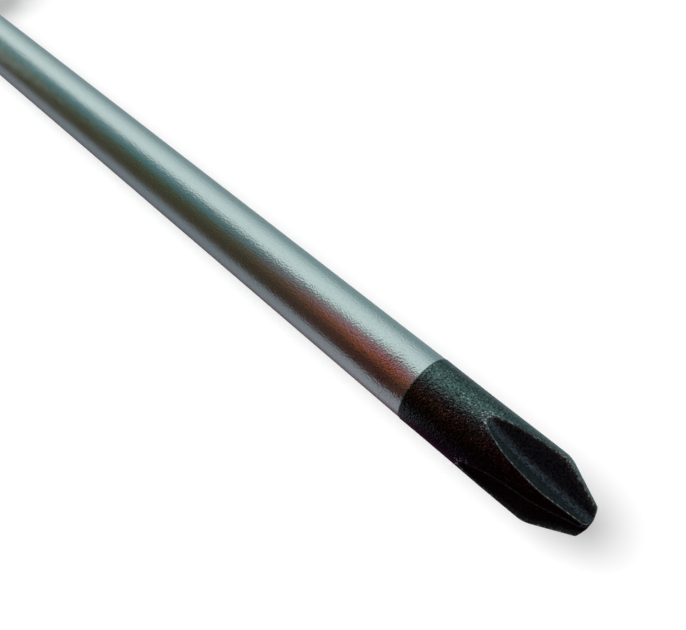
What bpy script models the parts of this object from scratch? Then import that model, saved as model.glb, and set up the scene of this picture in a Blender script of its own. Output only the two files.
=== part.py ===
"""Cross-head screwdriver of size 2 with a 125 mm blade, lying on a bench.

Metres, +Z up. The tool's axis runs along X with the point towards +X. The origin is the middle of
the tool's length, on the surface that it lies on. Stations on the blade are counted back from its
nose, and stations on the handle are counted back from the handle's front face.
"""

import math

import bmesh
import bpy

MM = 0.001

# Fit between pieces
CLEARANCE = 0.3 * MM

# Blade: a round bar with a coned and fluted point
SHANK_DIAMETER = 6.0 * MM
BLADE_REACH = 125.0 * MM
BLACKENED_LENGTH = 15.7 * MM
NOSE_FLAT_DIAMETER = 0.9 * MM
NOSE_DIAMETER = 2.28 * MM
NOSE_RISE = 0.2 * MM
POINT_HALF_ANGLE = math.radians(29.0)

# Flutes of the point: rounded V grooves whose floor climbs straight, then bends out of the bar
FLUTE_COUNT = 4
FLUTE_ANGLE = math.radians(92.0)
FLUTE_FLOOR_RADIUS = 0.7 * MM
FLUTE_FLOOR_AT_NOSE = 0.5 * MM
FLUTE_SLOPE = math.radians(9.3)
FLUTE_STRAIGHT = 5.45 * MM
FLUTE_BEND_RADIUS = 10.6 * MM
FLUTE_TURN = math.radians(3.0)

# Tang: the end of the bar inside the handle, pressed flat into two wings that stop it turning
TANG_WING_WIDTH = 9.5 * MM
TANG_WING_LENGTH = 14.0 * MM
TANG_WING_TAPER = 3.0 * MM
TANG_CHAMFER = 0.8 * MM

# Core: hard plastic moulded round the tang, with a collar that shows in front of the shell
CORE_WALL = 2.9 * MM
CORE_WING_WALL = 3.4 * MM
CORE_END_WALL = 4.0 * MM
CORE_FLARE_LENGTH = 6.0 * MM
CORE_RIB_HEIGHT = 1.4 * MM
CORE_RIB_HALF_ANGLE = math.radians(10.0)
CORE_RIB_RAMP = 1.5 * MM
COLLAR_LENGTH = 2.0 * MM
COLLAR_CHAMFER = 0.9 * MM

# Shell: the handle's outer body, a loft of rounded hexagons with a flange that stops it rolling
HANDLE_SIDES = 6
HANDLE_ACROSS_FLATS = 28.0 * MM
BELLY_CORNER_RADIUS = 6.3 * MM
SHELL_FRONT_RIM = 2.2 * MM
SHELL_FRONT_EDGE = 0.8 * MM
SHOULDER_LENGTH = 6.5 * MM
FLANGE_LENGTH = 6.5 * MM
FLANGE_CHAMFER = 1.0 * MM
FLANGE_CORNER_RADIUS = 4.5 * MM
FLANGE_TO_SLEEVE = 3.5 * MM
WAIST_DIAMETER = 22.0 * MM
WAIST_FLARE = 0.8 * MM
SLEEVE_TO_BELLY = 30.0 * MM
BELLY_TO_TAIL = 36.0 * MM
TAIL_FALL = 1.8 * MM
TAIL_ROUNDING = 6.0 * MM

# Finger sleeve: a soft ring round the waist, with scallops for the fingertips
SLEEVE_LENGTH = 16.0 * MM
SLEEVE_THICKNESS = 1.7 * MM
SLEEVE_PROUD = 0.2 * MM
SCALLOP_COUNT = 12
SCALLOP_DEPTH = 0.8 * MM
SCALLOP_FADE = 4.0 * MM

# Grip pads: soft strips let into the flats of the belly, with cross grooves
PAD_HALF_ANGLE = math.radians(19.0)
PAD_THICKNESS = 1.8 * MM
PAD_CORNER = 3.8 * MM
PAD_END_FLAT = 0.5 * MM
PAD_MARGIN_FRONT = 4.5 * MM
PAD_MARGIN_REAR = 3.0 * MM
GROOVE_PITCH = 7.0 * MM
GROOVE_WIDTH = 2.2 * MM
GROOVE_DEPTH = 0.6 * MM
GROOVE_END_LAND = 9.0 * MM

# End cap: a turned disc with a snap-in plug
CAP_DIAMETER = 17.0 * MM
CAP_RIM = 1.4 * MM
CAP_RECESS = 1.4 * MM
CAP_CROWN = 1.2 * MM
CAP_EDGE = 1.0 * MM
PLUG_DIAMETER = 11.0 * MM
PLUG_LENGTH = 6.5 * MM
PLUG_WALL = 1.6 * MM
BEAD_SETBACK = 1.2 * MM
BEAD_LENGTH = 2.4 * MM
BEAD_HEIGHT = 0.4 * MM

# Facets
BLADE_SIDES = 48
SHELL_SIDES = 48
CAP_SIDES = 36
SIDES_PER_SCALLOP = 6
STEPS_PER_CURVE = 6
PAD_COLUMNS = 4
SMOOTH_ANGLE = math.radians(32.0)
CUTTER_REACH = 2.0 * MM

# Stations and radii that follow from the sizes above
SHANK_RADIUS = SHANK_DIAMETER / 2
NOSE_RADIUS = NOSE_DIAMETER / 2
SHOULDER_STATION = NOSE_RISE + (SHANK_RADIUS - NOSE_RADIUS) / math.tan(POINT_HALF_ANGLE)
CORE_NECK_RADIUS = SHANK_RADIUS + CLEARANCE + CORE_WALL
CORE_BELLY_RADIUS = TANG_WING_WIDTH / 2 + CLEARANCE + CORE_WING_WALL
HANDLE_APOTHEM = HANDLE_ACROSS_FLATS / 2
WAIST_RADIUS = WAIST_DIAMETER / 2
CAP_RADIUS = CAP_DIAMETER / 2
PLUG_RADIUS = PLUG_DIAMETER / 2
REAR_APOTHEM = CAP_RADIUS + CLEARANCE + CAP_RIM
SHELL_FRONT_RADIUS = CORE_NECK_RADIUS + CLEARANCE + SHELL_FRONT_RIM

FLANGE_FRONT = COLLAR_LENGTH + SHOULDER_LENGTH
FLANGE_REAR = FLANGE_FRONT + FLANGE_LENGTH
SLEEVE_FRONT = FLANGE_REAR + FLANGE_TO_SLEEVE
WAIST = SLEEVE_FRONT + SLEEVE_LENGTH / 2
SLEEVE_REAR = SLEEVE_FRONT + SLEEVE_LENGTH
BELLY = SLEEVE_REAR + SLEEVE_TO_BELLY
TAIL = BELLY + BELLY_TO_TAIL
SHELL_REAR = TAIL + TAIL_ROUNDING
HANDLE_REAR = SHELL_REAR + CAP_CROWN
CAP_SEAT = SHELL_REAR - CAP_RECESS
PLUG_FRONT = CAP_SEAT - PLUG_LENGTH
CORE_REAR = PLUG_FRONT - CLEARANCE
TANG_END = CORE_REAR - CORE_END_WALL
CORE_BELLY = SLEEVE_REAR + CORE_FLARE_LENGTH
PAD_FRONT = SLEEVE_REAR + PAD_MARGIN_FRONT
PAD_REAR = TAIL - PAD_MARGIN_REAR

TOOL_LENGTH = BLADE_REACH + HANDLE_REAR


def smoothstep(share):
    """Ease from 0 to 1 with level ends."""
    return share * share * (3 - 2 * share)


def hermite(share, start, start_slope, end, end_slope):
    """Cubic from start to end with the given slopes per unit of share."""
    rise = smoothstep(share)
    lead_in = share * (1 - share) ** 2
    lead_out = share * share * (share - 1)
    return start + (end - start) * rise + start_slope * lead_in + end_slope * lead_out


def steps(start, end, count=STEPS_PER_CURVE):
    """Evenly spaced stations from start to end, both included."""
    return [start + (end - start) * i / count for i in range(count + 1)]


def turn_angles(count):
    return [2 * math.pi * i / count for i in range(count)]


def rounded_polygon(angle, apothem, corner):
    """Radius at an angle of a regular polygon with flats at the apothem and rounded corners."""
    sector = 2 * math.pi / HANDLE_SIDES
    from_corner = (angle + sector / 2) % sector - sector / 2
    from_flat = sector / 2 - abs(from_corner)
    corner_centre = (apothem - corner) / math.cos(sector / 2)
    flat_end = math.atan2(corner_centre * math.sin(sector / 2), apothem)
    if from_flat <= flat_end:
        return apothem / math.cos(from_flat)
    sideways = corner_centre * math.sin(from_corner)
    return corner_centre * math.cos(from_corner) + math.sqrt(corner**2 - sideways**2)


def belly_curve(station):
    """Apothem of the handle behind its belly, before the end is rounded off."""
    return HANDLE_APOTHEM - TAIL_FALL * ((station - BELLY) / BELLY_TO_TAIL) ** 2


def handle_apothem(station):
    """Distance from the axis to the handle's flats, from the sleeve back to the rear face."""
    if station <= SLEEVE_REAR:
        return WAIST_RADIUS + WAIST_FLARE * ((station - WAIST) / (SLEEVE_LENGTH / 2)) ** 2
    if station <= BELLY:
        share = (station - SLEEVE_REAR) / SLEEVE_TO_BELLY
        start = WAIST_RADIUS + WAIST_FLARE
        steepest_without_hump = 3 * (HANDLE_APOTHEM - start)
        slope = min(4 * WAIST_FLARE / SLEEVE_LENGTH * SLEEVE_TO_BELLY, steepest_without_hump)
        return hermite(share, start, slope, HANDLE_APOTHEM, 0.0)
    if station <= TAIL:
        return belly_curve(station)
    share = min((station - TAIL) / TAIL_ROUNDING, 1.0)
    drop = belly_curve(SHELL_REAR) - REAR_APOTHEM
    return belly_curve(station) - drop * (1 - math.sqrt(1 - share * share))


def handle_corner(station):
    """Corner radius of the handle's section: a circle at the sleeve, a hexagon at the belly."""
    apothem = handle_apothem(station)
    share = min(max((station - SLEEVE_REAR) / SLEEVE_TO_BELLY, 0.0), 1.0)
    roundness = 1 - (1 - BELLY_CORNER_RADIUS / HANDLE_APOTHEM) * smoothstep(share)
    return apothem * roundness


def handle_radius(station, angle):
    return rounded_polygon(angle, handle_apothem(station), handle_corner(station))


def new_object(name, mesh, parent, material=None, station=0.0, turn=0.0):
    """Put a mesh on the tool's axis, at a station behind the nose and turned about the axis."""
    made = bpy.data.objects.new(name, mesh)
    made.parent = parent
    made.location = (-station, 0.0, 0.0)
    made.rotation_euler = (turn, 0.0, 0.0)
    if material and not mesh.materials:
        mesh.materials.append(material)
    bpy.context.scene.collection.objects.link(made)
    return made


def finish_mesh(name, bm):
    """Close a bmesh into a smooth-shaded mesh with its faces pointing out."""
    bmesh.ops.recalc_face_normals(bm, faces=bm.faces)
    mesh = bpy.data.meshes.new(name)
    bm.to_mesh(mesh)
    bm.free()
    mesh.shade_smooth()
    mesh.set_sharp_from_angle(angle=SMOOTH_ANGLE)
    return mesh


def bridge(bm, ring, following):
    """Quads between two rings of as many vertices."""
    for i, vert in enumerate(ring):
        j = (i + 1) % len(ring)
        bm.faces.new((vert, ring[j], following[j], following[i]))


def loft(name, sections, tube=False):
    """Skin a list of (station, [(y, z), ...]) sections; a tube's last section meets its first."""
    bm = bmesh.new()
    rings = [[bm.verts.new((-station, y, z)) for y, z in points] for station, points in sections]
    for ring, following in zip(rings, rings[1:]):
        bridge(bm, ring, following)
    if tube:
        bridge(bm, rings[-1], rings[0])
    else:
        bm.faces.new(rings[0])
        bm.faces.new(rings[-1])
    return finish_mesh(name, bm)


def oval(width, height, sides=BLADE_SIDES):
    """Points of an oval section from its half width and half height."""
    return [(width * math.cos(a), height * math.sin(a)) for a in turn_angles(sides)]


def circle(radius, sides=BLADE_SIDES):
    return oval(radius, radius, sides)


def polar(radius_at, sides):
    """Points of a section from its radius at each angle."""
    return [(radius_at(a) * math.cos(a), radius_at(a) * math.sin(a)) for a in turn_angles(sides)]


def cut(piece, cutter):
    """Take a cutter away from a piece and keep it as a wire guide."""
    cutter.hide_render = True
    cutter.display_type = "WIRE"
    modifier = piece.modifiers.new(cutter.name, "BOOLEAN")
    modifier.object = cutter
    modifier.solver = "EXACT"


def plain_material(name, colour, metallic, roughness):
    material = bpy.data.materials.new(name)
    material.use_nodes = True
    shader = material.node_tree.nodes["Principled BSDF"]
    shader.inputs["Base Color"].default_value = (*colour, 1.0)
    shader.inputs["Metallic"].default_value = metallic
    shader.inputs["Roughness"].default_value = roughness
    material.diffuse_color = (*colour, 1.0)
    return material


def tang_sections(growth):
    """Sections of the bar inside the handle, grown on all sides, from its front to its end."""
    radius = SHANK_RADIUS + growth
    wing_half_width = TANG_WING_WIDTH / 2 + growth
    wing_half_height = SHANK_DIAMETER**2 / TANG_WING_WIDTH / 2 + growth
    wing_front = CORE_BELLY + TANG_WING_TAPER
    wing_rear = wing_front + TANG_WING_LENGTH
    end = TANG_END + growth
    return [
        (wing_front - TANG_WING_TAPER, circle(radius)),
        (wing_front, oval(wing_half_width, wing_half_height)),
        (wing_rear, oval(wing_half_width, wing_half_height)),
        (wing_rear + TANG_WING_TAPER, circle(radius)),
        (end - TANG_CHAMFER, circle(radius)),
        (end, circle(radius - TANG_CHAMFER)),
    ]


def flute_path():
    """Stations and floor heights along one flute, from ahead of the nose to clear of the bar."""
    bend_floor = FLUTE_FLOOR_AT_NOSE + FLUTE_STRAIGHT * math.tan(FLUTE_SLOPE)
    clear_of_bar = SHANK_RADIUS + CLEARANCE
    rise = (clear_of_bar - bend_floor) / FLUTE_BEND_RADIUS
    last_slope = math.acos(math.cos(FLUTE_SLOPE) - rise)
    path = [(-CUTTER_REACH, FLUTE_FLOOR_AT_NOSE - CUTTER_REACH * math.tan(FLUTE_SLOPE))]
    for slope in steps(FLUTE_SLOPE, last_slope, 2 * STEPS_PER_CURVE):
        station = FLUTE_STRAIGHT + FLUTE_BEND_RADIUS * (math.sin(slope) - math.sin(FLUTE_SLOPE))
        floor = bend_floor + FLUTE_BEND_RADIUS * (math.cos(FLUTE_SLOPE) - math.cos(slope))
        path.append((station, floor))
    return path


def flute_section(floor):
    """Rounded V across a flute that opens towards +Z, with its floor at the given height."""
    half = FLUTE_ANGLE / 2
    swing = math.pi / 2 - half
    points = []
    for turn in steps(-swing, swing):
        across = FLUTE_FLOOR_RADIUS * math.sin(turn)
        points.append((across, floor + FLUTE_FLOOR_RADIUS * (1 - math.cos(turn))))
    wall_top = SHANK_RADIUS + CUTTER_REACH
    lip_across, lip_height = points[-1]
    top_across = lip_across + (wall_top - lip_height) * math.tan(half)
    return [(-top_across, wall_top)] + points + [(top_across, wall_top)]


def build_blade(parent, plated, blackened):
    """The bar in one piece: blunt nose, cone, blackened end, plated shank and winged tang."""
    sections = [
        (0.0, circle(NOSE_FLAT_DIAMETER / 2)),
        (NOSE_RISE, circle(NOSE_RADIUS)),
        (SHOULDER_STATION, circle(SHANK_RADIUS)),
        (BLACKENED_LENGTH, circle(SHANK_RADIUS)),
    ]
    sections += [(BLADE_REACH + station, points) for station, points in tang_sections(0.0)]
    mesh = loft("blade", sections)
    mesh.materials.append(plated)
    mesh.materials.append(blackened)
    for face in mesh.polygons:
        face.material_index = int(face.center.x > -BLACKENED_LENGTH)
    blade = new_object("blade", mesh, parent)
    flute = loft("flute_cutter", [(s, flute_section(floor)) for s, floor in flute_path()])
    flute.materials.append(plated)
    flute.materials.append(blackened)
    for face in flute.polygons:
        face.material_index = 1
    for k, turn in enumerate(turn_angles(FLUTE_COUNT)):
        name = f"flute_cutter_{k + 1}"
        cut(blade, new_object(name, flute, parent, turn=FLUTE_TURN + turn))
    return blade


def core_radius(angle, radius, rib):
    """Core section: a circle with one keying rib towards each corner of the handle."""
    sector = 2 * math.pi / HANDLE_SIDES
    from_corner = abs((angle + sector / 2) % sector - sector / 2)
    on_rib = from_corner < CORE_RIB_HALF_ANGLE
    return radius + (rib if on_rib else 0.0)


def core_section(radius, rib=0.0):
    return polar(lambda angle: core_radius(angle, radius, rib), SHELL_SIDES)


def core_sections(growth):
    """Sections of the core behind its collar, grown on all sides."""
    belly = CORE_BELLY_RADIUS + growth
    rib_front = CORE_BELLY + CORE_RIB_RAMP
    rib_rear = CORE_REAR - CORE_RIB_RAMP
    return [
        (SLEEVE_REAR, core_section(CORE_NECK_RADIUS + growth)),
        (CORE_BELLY - growth, core_section(belly)),
        (rib_front - growth, core_section(belly, CORE_RIB_HEIGHT)),
        (rib_rear + growth, core_section(belly, CORE_RIB_HEIGHT)),
        (CORE_REAR + growth, core_section(belly)),
    ]


def build_core(parent, material):
    """Core with its collar in front and a blind socket of the tang's own shape inside."""
    collar = [
        (0.0, core_section(CORE_NECK_RADIUS - COLLAR_CHAMFER)),
        (COLLAR_CHAMFER, core_section(CORE_NECK_RADIUS)),
    ]
    mesh = loft("inner_core", collar + core_sections(0.0))
    core = new_object("inner_core", mesh, parent, material, BLADE_REACH)
    mouth = [(-CUTTER_REACH, circle(SHANK_RADIUS + CLEARANCE))]
    socket = loft("tang_socket_cutter", mouth + tang_sections(CLEARANCE))
    cut(core, new_object("tang_socket_cutter", socket, parent, station=BLADE_REACH))
    return core


def shell_sections():
    """Outer sections of the shell: rim, shoulder, flange, neck, belly and rounded rear."""
    rim = [(COLLAR_LENGTH, SHELL_FRONT_RADIUS, SHELL_FRONT_RADIUS)]
    foot = HANDLE_APOTHEM - FLANGE_CHAMFER
    shoulder_start = SHELL_FRONT_RADIUS + SHELL_FRONT_EDGE
    shoulder = []
    for station in steps(COLLAR_LENGTH + SHELL_FRONT_EDGE, FLANGE_FRONT, 4):
        run = SHOULDER_LENGTH - SHELL_FRONT_EDGE
        share = (station - COLLAR_LENGTH - SHELL_FRONT_EDGE) / run
        apothem = shoulder_start + (foot - shoulder_start) * share * share
        corner = apothem + (FLANGE_CORNER_RADIUS - apothem) * smoothstep(share)
        shoulder.append((station, apothem, corner))
    flange = [
        (FLANGE_FRONT + FLANGE_CHAMFER, HANDLE_APOTHEM, FLANGE_CORNER_RADIUS),
        (FLANGE_REAR - FLANGE_CHAMFER, HANDLE_APOTHEM, FLANGE_CORNER_RADIUS),
    ]
    neck = []
    sleeve_end = handle_apothem(SLEEVE_FRONT)
    for station in steps(FLANGE_REAR, SLEEVE_FRONT, 3):
        share = (station - FLANGE_REAR) / FLANGE_TO_SLEEVE
        apothem = sleeve_end + (foot - sleeve_end) * (1 - share) ** 2
        corner = FLANGE_CORNER_RADIUS + (apothem - FLANGE_CORNER_RADIUS) * smoothstep(share)
        neck.append((station, apothem, corner))
    body = steps(SLEEVE_FRONT, SLEEVE_REAR, 4)[1:]
    body += steps(SLEEVE_REAR, BELLY)[1:]
    body += steps(BELLY, TAIL, 4)[1:]
    body += [TAIL + TAIL_ROUNDING * math.sin(turn) for turn in steps(0.0, math.pi / 2, 5)[1:]]
    grip = [(station, handle_apothem(station), handle_corner(station)) for station in body]
    return [
        (station, polar(lambda angle: rounded_polygon(angle, apothem, corner), SHELL_SIDES))
        for station, apothem, corner in rim + shoulder + flange + neck + grip
    ]


def plug_profile(growth):
    """(station, radius) steps of the cap's plug and head seat, grown on all sides."""
    radius = PLUG_RADIUS + growth
    bead_front = PLUG_FRONT + BEAD_SETBACK
    return [
        (bead_front, radius),
        (bead_front + BEAD_LENGTH / 2, radius + BEAD_HEIGHT),
        (bead_front + BEAD_LENGTH, radius),
        (CAP_SEAT - growth, radius),
        (CAP_SEAT - growth, CAP_RADIUS + growth),
    ]


def build_shell(parent, material):
    """Shell, bored for the core and the cap, grooved for the sleeve and pocketed for the pads."""
    mesh = loft("handle_shell", shell_sections())
    shell = new_object("handle_shell", mesh, parent, material, BLADE_REACH)
    mouth = [(-CUTTER_REACH, core_section(CORE_NECK_RADIUS + CLEARANCE))]
    rear = [(CORE_REAR + CLEARANCE, core_section(PLUG_RADIUS + CLEARANCE))]
    rear += [(station, core_section(radius)) for station, radius in plug_profile(CLEARANCE)]
    rear += [(SHELL_REAR + CUTTER_REACH, core_section(CAP_RADIUS + CLEARANCE))]
    bore = loft("bore_cutter", mouth + core_sections(CLEARANCE) + rear)
    cut(shell, new_object("bore_cutter", bore, parent, station=BLADE_REACH))

    groove_floor = sleeve_inner_radius() - CLEARANCE
    groove_top = HANDLE_APOTHEM + CUTTER_REACH
    groove = loft(
        "sleeve_groove_cutter",
        [
            (SLEEVE_FRONT - CLEARANCE, circle(groove_floor, SHELL_SIDES)),
            (SLEEVE_REAR + CLEARANCE, circle(groove_floor, SHELL_SIDES)),
            (SLEEVE_REAR + CLEARANCE, circle(groove_top, SHELL_SIDES)),
            (SLEEVE_FRONT - CLEARANCE, circle(groove_top, SHELL_SIDES)),
        ],
        tube=True,
    )
    half_facet = math.pi / SHELL_SIDES
    cut(shell, new_object("sleeve_groove_cutter", groove, parent, None, BLADE_REACH, half_facet))

    pocket = pad_mesh("pad_pocket_cutter", CLEARANCE, CUTTER_REACH, grooved=False)
    for k, turn in enumerate(turn_angles(HANDLE_SIDES)):
        name = f"pad_pocket_cutter_{k + 1}"
        cut(shell, new_object(name, pocket, parent, station=BLADE_REACH, turn=turn))
    return shell


def sleeve_inner_radius():
    return WAIST_RADIUS - SLEEVE_THICKNESS


def build_sleeve(parent, material):
    """Soft ring round the waist, with scallops that fade out towards both ends."""
    sides = SCALLOP_COUNT * SIDES_PER_SCALLOP
    sections = []
    for station in steps(SLEEVE_FRONT, SLEEVE_REAR):
        from_end = min(station - SLEEVE_FRONT, SLEEVE_REAR - station)
        depth = SCALLOP_DEPTH * smoothstep(min(from_end / SCALLOP_FADE, 1.0))
        top = handle_apothem(station) + SLEEVE_PROUD
        wave = [(1 - math.cos(SCALLOP_COUNT * a)) / 2 for a in turn_angles(sides)]
        points = [
            ((top - depth * w) * math.cos(a), (top - depth * w) * math.sin(a))
            for a, w in zip(turn_angles(sides), wave)
        ]
        sections.append((station, points))
    inner = circle(sleeve_inner_radius(), sides)
    sections += [(SLEEVE_REAR, inner), (SLEEVE_FRONT, inner)]
    mesh = loft("finger_sleeve", sections, tube=True)
    return new_object("finger_sleeve", mesh, parent, material, BLADE_REACH)


def groove_depth(station, across):
    """Depth of the pad's cross grooves, fading out towards the pad's long edges."""
    first = PAD_FRONT + GROOVE_END_LAND
    last = PAD_REAR - GROOVE_END_LAND
    if not first - GROOVE_WIDTH <= station <= last + GROOVE_WIDTH:
        return 0.0
    nearest = first + GROOVE_PITCH * round((station - first) / GROOVE_PITCH)
    if nearest < first - GROOVE_PITCH / 2 or nearest > last:
        return 0.0
    share = min(abs(station - nearest) / (GROOVE_WIDTH / 2), 1.0)
    return GROOVE_DEPTH * (1 - share * share) * (1 - across**4)


def pad_corner(growth):
    """Corner radius of a pad's outline, limited so that its narrower end keeps a flat."""
    narrow_end = min(handle_apothem(PAD_FRONT), handle_apothem(PAD_REAR))
    return min(PAD_CORNER, PAD_HALF_ANGLE * narrow_end - PAD_END_FLAT / 2) + growth


def pad_stations(growth, grooved):
    """Rows along a pad: close together round its ends, and on both sides of every groove."""
    front = PAD_FRONT - growth
    rear = PAD_REAR + growth
    corner = pad_corner(growth)
    ends = [corner * (1 - math.cos(turn)) for turn in steps(0.0, math.pi / 2, 4)]
    rows = [front + end for end in ends] + [rear - end for end in ends]
    if not grooved:
        return sorted(rows + steps(front + corner, rear - corner)[1:-1])
    centre = PAD_FRONT + GROOVE_END_LAND
    while centre <= PAD_REAR - GROOVE_END_LAND:
        rows += steps(centre - GROOVE_WIDTH / 2, centre + GROOVE_WIDTH / 2, 4)
        centre += GROOVE_PITCH
    return sorted(rows)


def pad_half_angle(station, growth):
    """Half the pad's angle at a station, drawn in round the ends to rounded corners."""
    corner = pad_corner(growth)
    from_end = min(station - PAD_FRONT, PAD_REAR - station) + growth
    inset = 0.0
    if from_end < corner:
        inset = corner - math.sqrt(max(corner**2 - (corner - from_end) ** 2, 0.0))
    return PAD_HALF_ANGLE + (growth - inset) / handle_apothem(station)


def pad_mesh(name, growth, proud, grooved):
    """Strip that follows the handle's surface over one flat: the pad itself, or its pocket."""
    bm = bmesh.new()
    flat = math.pi / 2
    tops = []
    floors = []
    for station in pad_stations(growth, grooved):
        half = pad_half_angle(station, growth)
        top_row = []
        floor_row = []
        for across in steps(-1.0, 1.0, PAD_COLUMNS):
            angle = flat + across * half
            surface = handle_radius(station, angle)
            top = surface + proud - (groove_depth(station, across) if grooved else 0.0)
            floor = surface - PAD_THICKNESS - growth
            y, z = math.cos(angle), math.sin(angle)
            top_row.append(bm.verts.new((-station, top * y, top * z)))
            floor_row.append(bm.verts.new((-station, floor * y, floor * z)))
        tops.append(top_row)
        floors.append(floor_row)
    outline = [top + floor[::-1] for top, floor in zip(tops, floors)]
    for ring, following in zip(outline, outline[1:]):
        bridge(bm, ring, following)
    for end in (outline[0], outline[-1]):
        for j in range(PAD_COLUMNS):
            bm.faces.new((end[j], end[j + 1], end[-2 - j], end[-1 - j]))
    return finish_mesh(name, bm)


def build_pads(parent, material):
    """One pad on each flat, all of the same mesh."""
    mesh = pad_mesh("grip_pad", 0.0, 0.0, grooved=True)
    for k, turn in enumerate(turn_angles(HANDLE_SIDES)):
        new_object(f"grip_pad_{k + 1}", mesh, parent, material, BLADE_REACH, turn)


def build_cap(parent, material):
    """Turned cap: flat butt face, rounded head and a hollow plug with a snap bead."""
    plug = [(PLUG_FRONT, PLUG_RADIUS - PLUG_WALL), (PLUG_FRONT, PLUG_RADIUS)]
    edge_station = HANDLE_REAR - CAP_EDGE
    edge_radius = CAP_RADIUS - CAP_EDGE
    head = [
        (edge_station + CAP_EDGE * math.sin(turn), edge_radius + CAP_EDGE * math.cos(turn))
        for turn in steps(0.0, math.pi / 2, 3)
    ]
    profile = plug + plug_profile(0.0) + head
    hollow = [(CAP_SEAT, PLUG_RADIUS - PLUG_WALL)]
    sections = [(station, circle(radius, CAP_SIDES)) for station, radius in hollow + profile]
    mesh = loft("end_cap", sections)
    return new_object("end_cap", mesh, parent, material, BLADE_REACH)


def main():
    for old in list(bpy.data.objects):
        bpy.data.objects.remove(old, do_unlink=True)

    nose = bpy.data.objects.new("tool_axis", None)
    nose.location = (TOOL_LENGTH / 2, 0.0, HANDLE_APOTHEM)
    bpy.context.scene.collection.objects.link(nose)

    plated = plain_material("satin_plated_steel", (0.60, 0.63, 0.63), 1.0, 0.32)
    blackened = plain_material("blackened_steel", (0.015, 0.014, 0.015), 0.6, 0.5)
    core_plastic = plain_material("core_plastic", (0.03, 0.03, 0.033), 0.0, 0.45)
    shell_plastic = plain_material("shell_plastic", (0.035, 0.06, 0.09), 0.0, 0.4)
    soft_grip = plain_material("soft_grip", (0.012, 0.012, 0.013), 0.0, 0.75)
    cap_plastic = plain_material("cap_plastic", (0.42, 0.44, 0.45), 0.0, 0.4)

    build_blade(nose, plated, blackened)
    build_core(nose, core_plastic)
    build_shell(nose, shell_plastic)
    build_sleeve(nose, soft_grip)
    build_pads(nose, soft_grip)
    build_cap(nose, cap_plastic)


main()
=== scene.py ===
# %% [markdown]
# # A cross-head screwdriver on a white bench
#
# The tool lies on one flat of its handle, with its axis along X and its point towards +X. Its solids
# come packed in a fixed frame, in metres. This lesson gives every piece a fine surface and a finish,
# and sets up the light and the camera for a close portrait of the blackened point.

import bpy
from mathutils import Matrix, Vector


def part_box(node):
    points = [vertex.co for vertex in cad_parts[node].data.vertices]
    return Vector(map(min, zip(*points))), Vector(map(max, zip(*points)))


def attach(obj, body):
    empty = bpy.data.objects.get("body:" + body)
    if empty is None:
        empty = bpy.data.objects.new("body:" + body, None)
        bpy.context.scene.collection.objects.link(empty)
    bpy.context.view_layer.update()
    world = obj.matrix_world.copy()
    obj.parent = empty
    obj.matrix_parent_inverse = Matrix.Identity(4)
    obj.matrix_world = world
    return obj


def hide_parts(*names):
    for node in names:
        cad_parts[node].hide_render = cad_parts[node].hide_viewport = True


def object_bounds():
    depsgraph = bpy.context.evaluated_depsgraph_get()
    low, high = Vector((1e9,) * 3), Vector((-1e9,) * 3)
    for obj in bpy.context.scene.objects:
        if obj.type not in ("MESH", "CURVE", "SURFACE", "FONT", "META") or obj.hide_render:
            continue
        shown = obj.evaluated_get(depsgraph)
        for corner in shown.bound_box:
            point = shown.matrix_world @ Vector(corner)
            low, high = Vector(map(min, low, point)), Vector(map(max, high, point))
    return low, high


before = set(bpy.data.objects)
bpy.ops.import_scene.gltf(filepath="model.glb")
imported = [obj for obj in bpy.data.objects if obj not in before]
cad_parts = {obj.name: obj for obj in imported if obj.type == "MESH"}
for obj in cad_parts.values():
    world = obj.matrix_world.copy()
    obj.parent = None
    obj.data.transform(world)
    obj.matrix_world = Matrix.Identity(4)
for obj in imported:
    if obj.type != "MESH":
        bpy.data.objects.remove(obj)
cad_low, cad_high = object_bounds()
print("solids:", ", ".join(sorted(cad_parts)))

# %% [markdown]
# ## Main sizes
#
# A fine surface has to lie where its solid lies, so the main sizes are read from the solids' boxes
# and aren't typed again. Stations on the blade are counted back from its nose, and stations on the
# handle from the front of the collar, as a turner would measure them on the lathe.

# %% Read the main sizes
import math

import bpy
import numpy as np

MM = 0.001

blade_low, blade_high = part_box("blade")
core_low, core_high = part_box("inner_core")
shell_low, shell_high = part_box("handle_shell")
sleeve_low, sleeve_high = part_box("finger_sleeve")
pad_low, pad_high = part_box("grip_pad_1")
cap_low, cap_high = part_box("end_cap")

NOSE_X = blade_high.x
AXIS_Z = (blade_low.z + blade_high.z) / 2
SHANK_RADIUS = (blade_high.z - blade_low.z) / 2
HANDLE_X = core_high.x
BLADE_REACH = NOSE_X - HANDLE_X
TANG_END = HANDLE_X - blade_low.x
CORE_REAR = HANDLE_X - core_low.x
SHELL_FRONT = HANDLE_X - shell_high.x
SHELL_REAR = HANDLE_X - shell_low.x
SLEEVE_FRONT = HANDLE_X - sleeve_high.x
SLEEVE_REAR = HANDLE_X - sleeve_low.x
PAD_FRONT = HANDLE_X - pad_high.x
PAD_REAR = HANDLE_X - pad_low.x
PLUG_FRONT = HANDLE_X - cap_high.x
HANDLE_REAR = HANDLE_X - cap_low.x
HANDLE_APOTHEM = (shell_high.z - shell_low.z) / 2
CAP_RADIUS = (cap_high.z - cap_low.z) / 2

print(f"blade {BLADE_REACH / MM:.1f} mm long and {2 * SHANK_RADIUS / MM:.1f} mm thick")
print(f"handle {HANDLE_REAR / MM:.1f} mm long and {2 * HANDLE_APOTHEM / MM:.1f} mm across its flats")

# %% [markdown]
# ## Camera
#
# The portrait looks down at the point from the front left, from so near that the far end of the shank
# looks thinner than the near end. A longer lens from further away would lose that taper, so the camera
# stands where the fitted outline puts it: some 56 mm from the nose.

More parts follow.
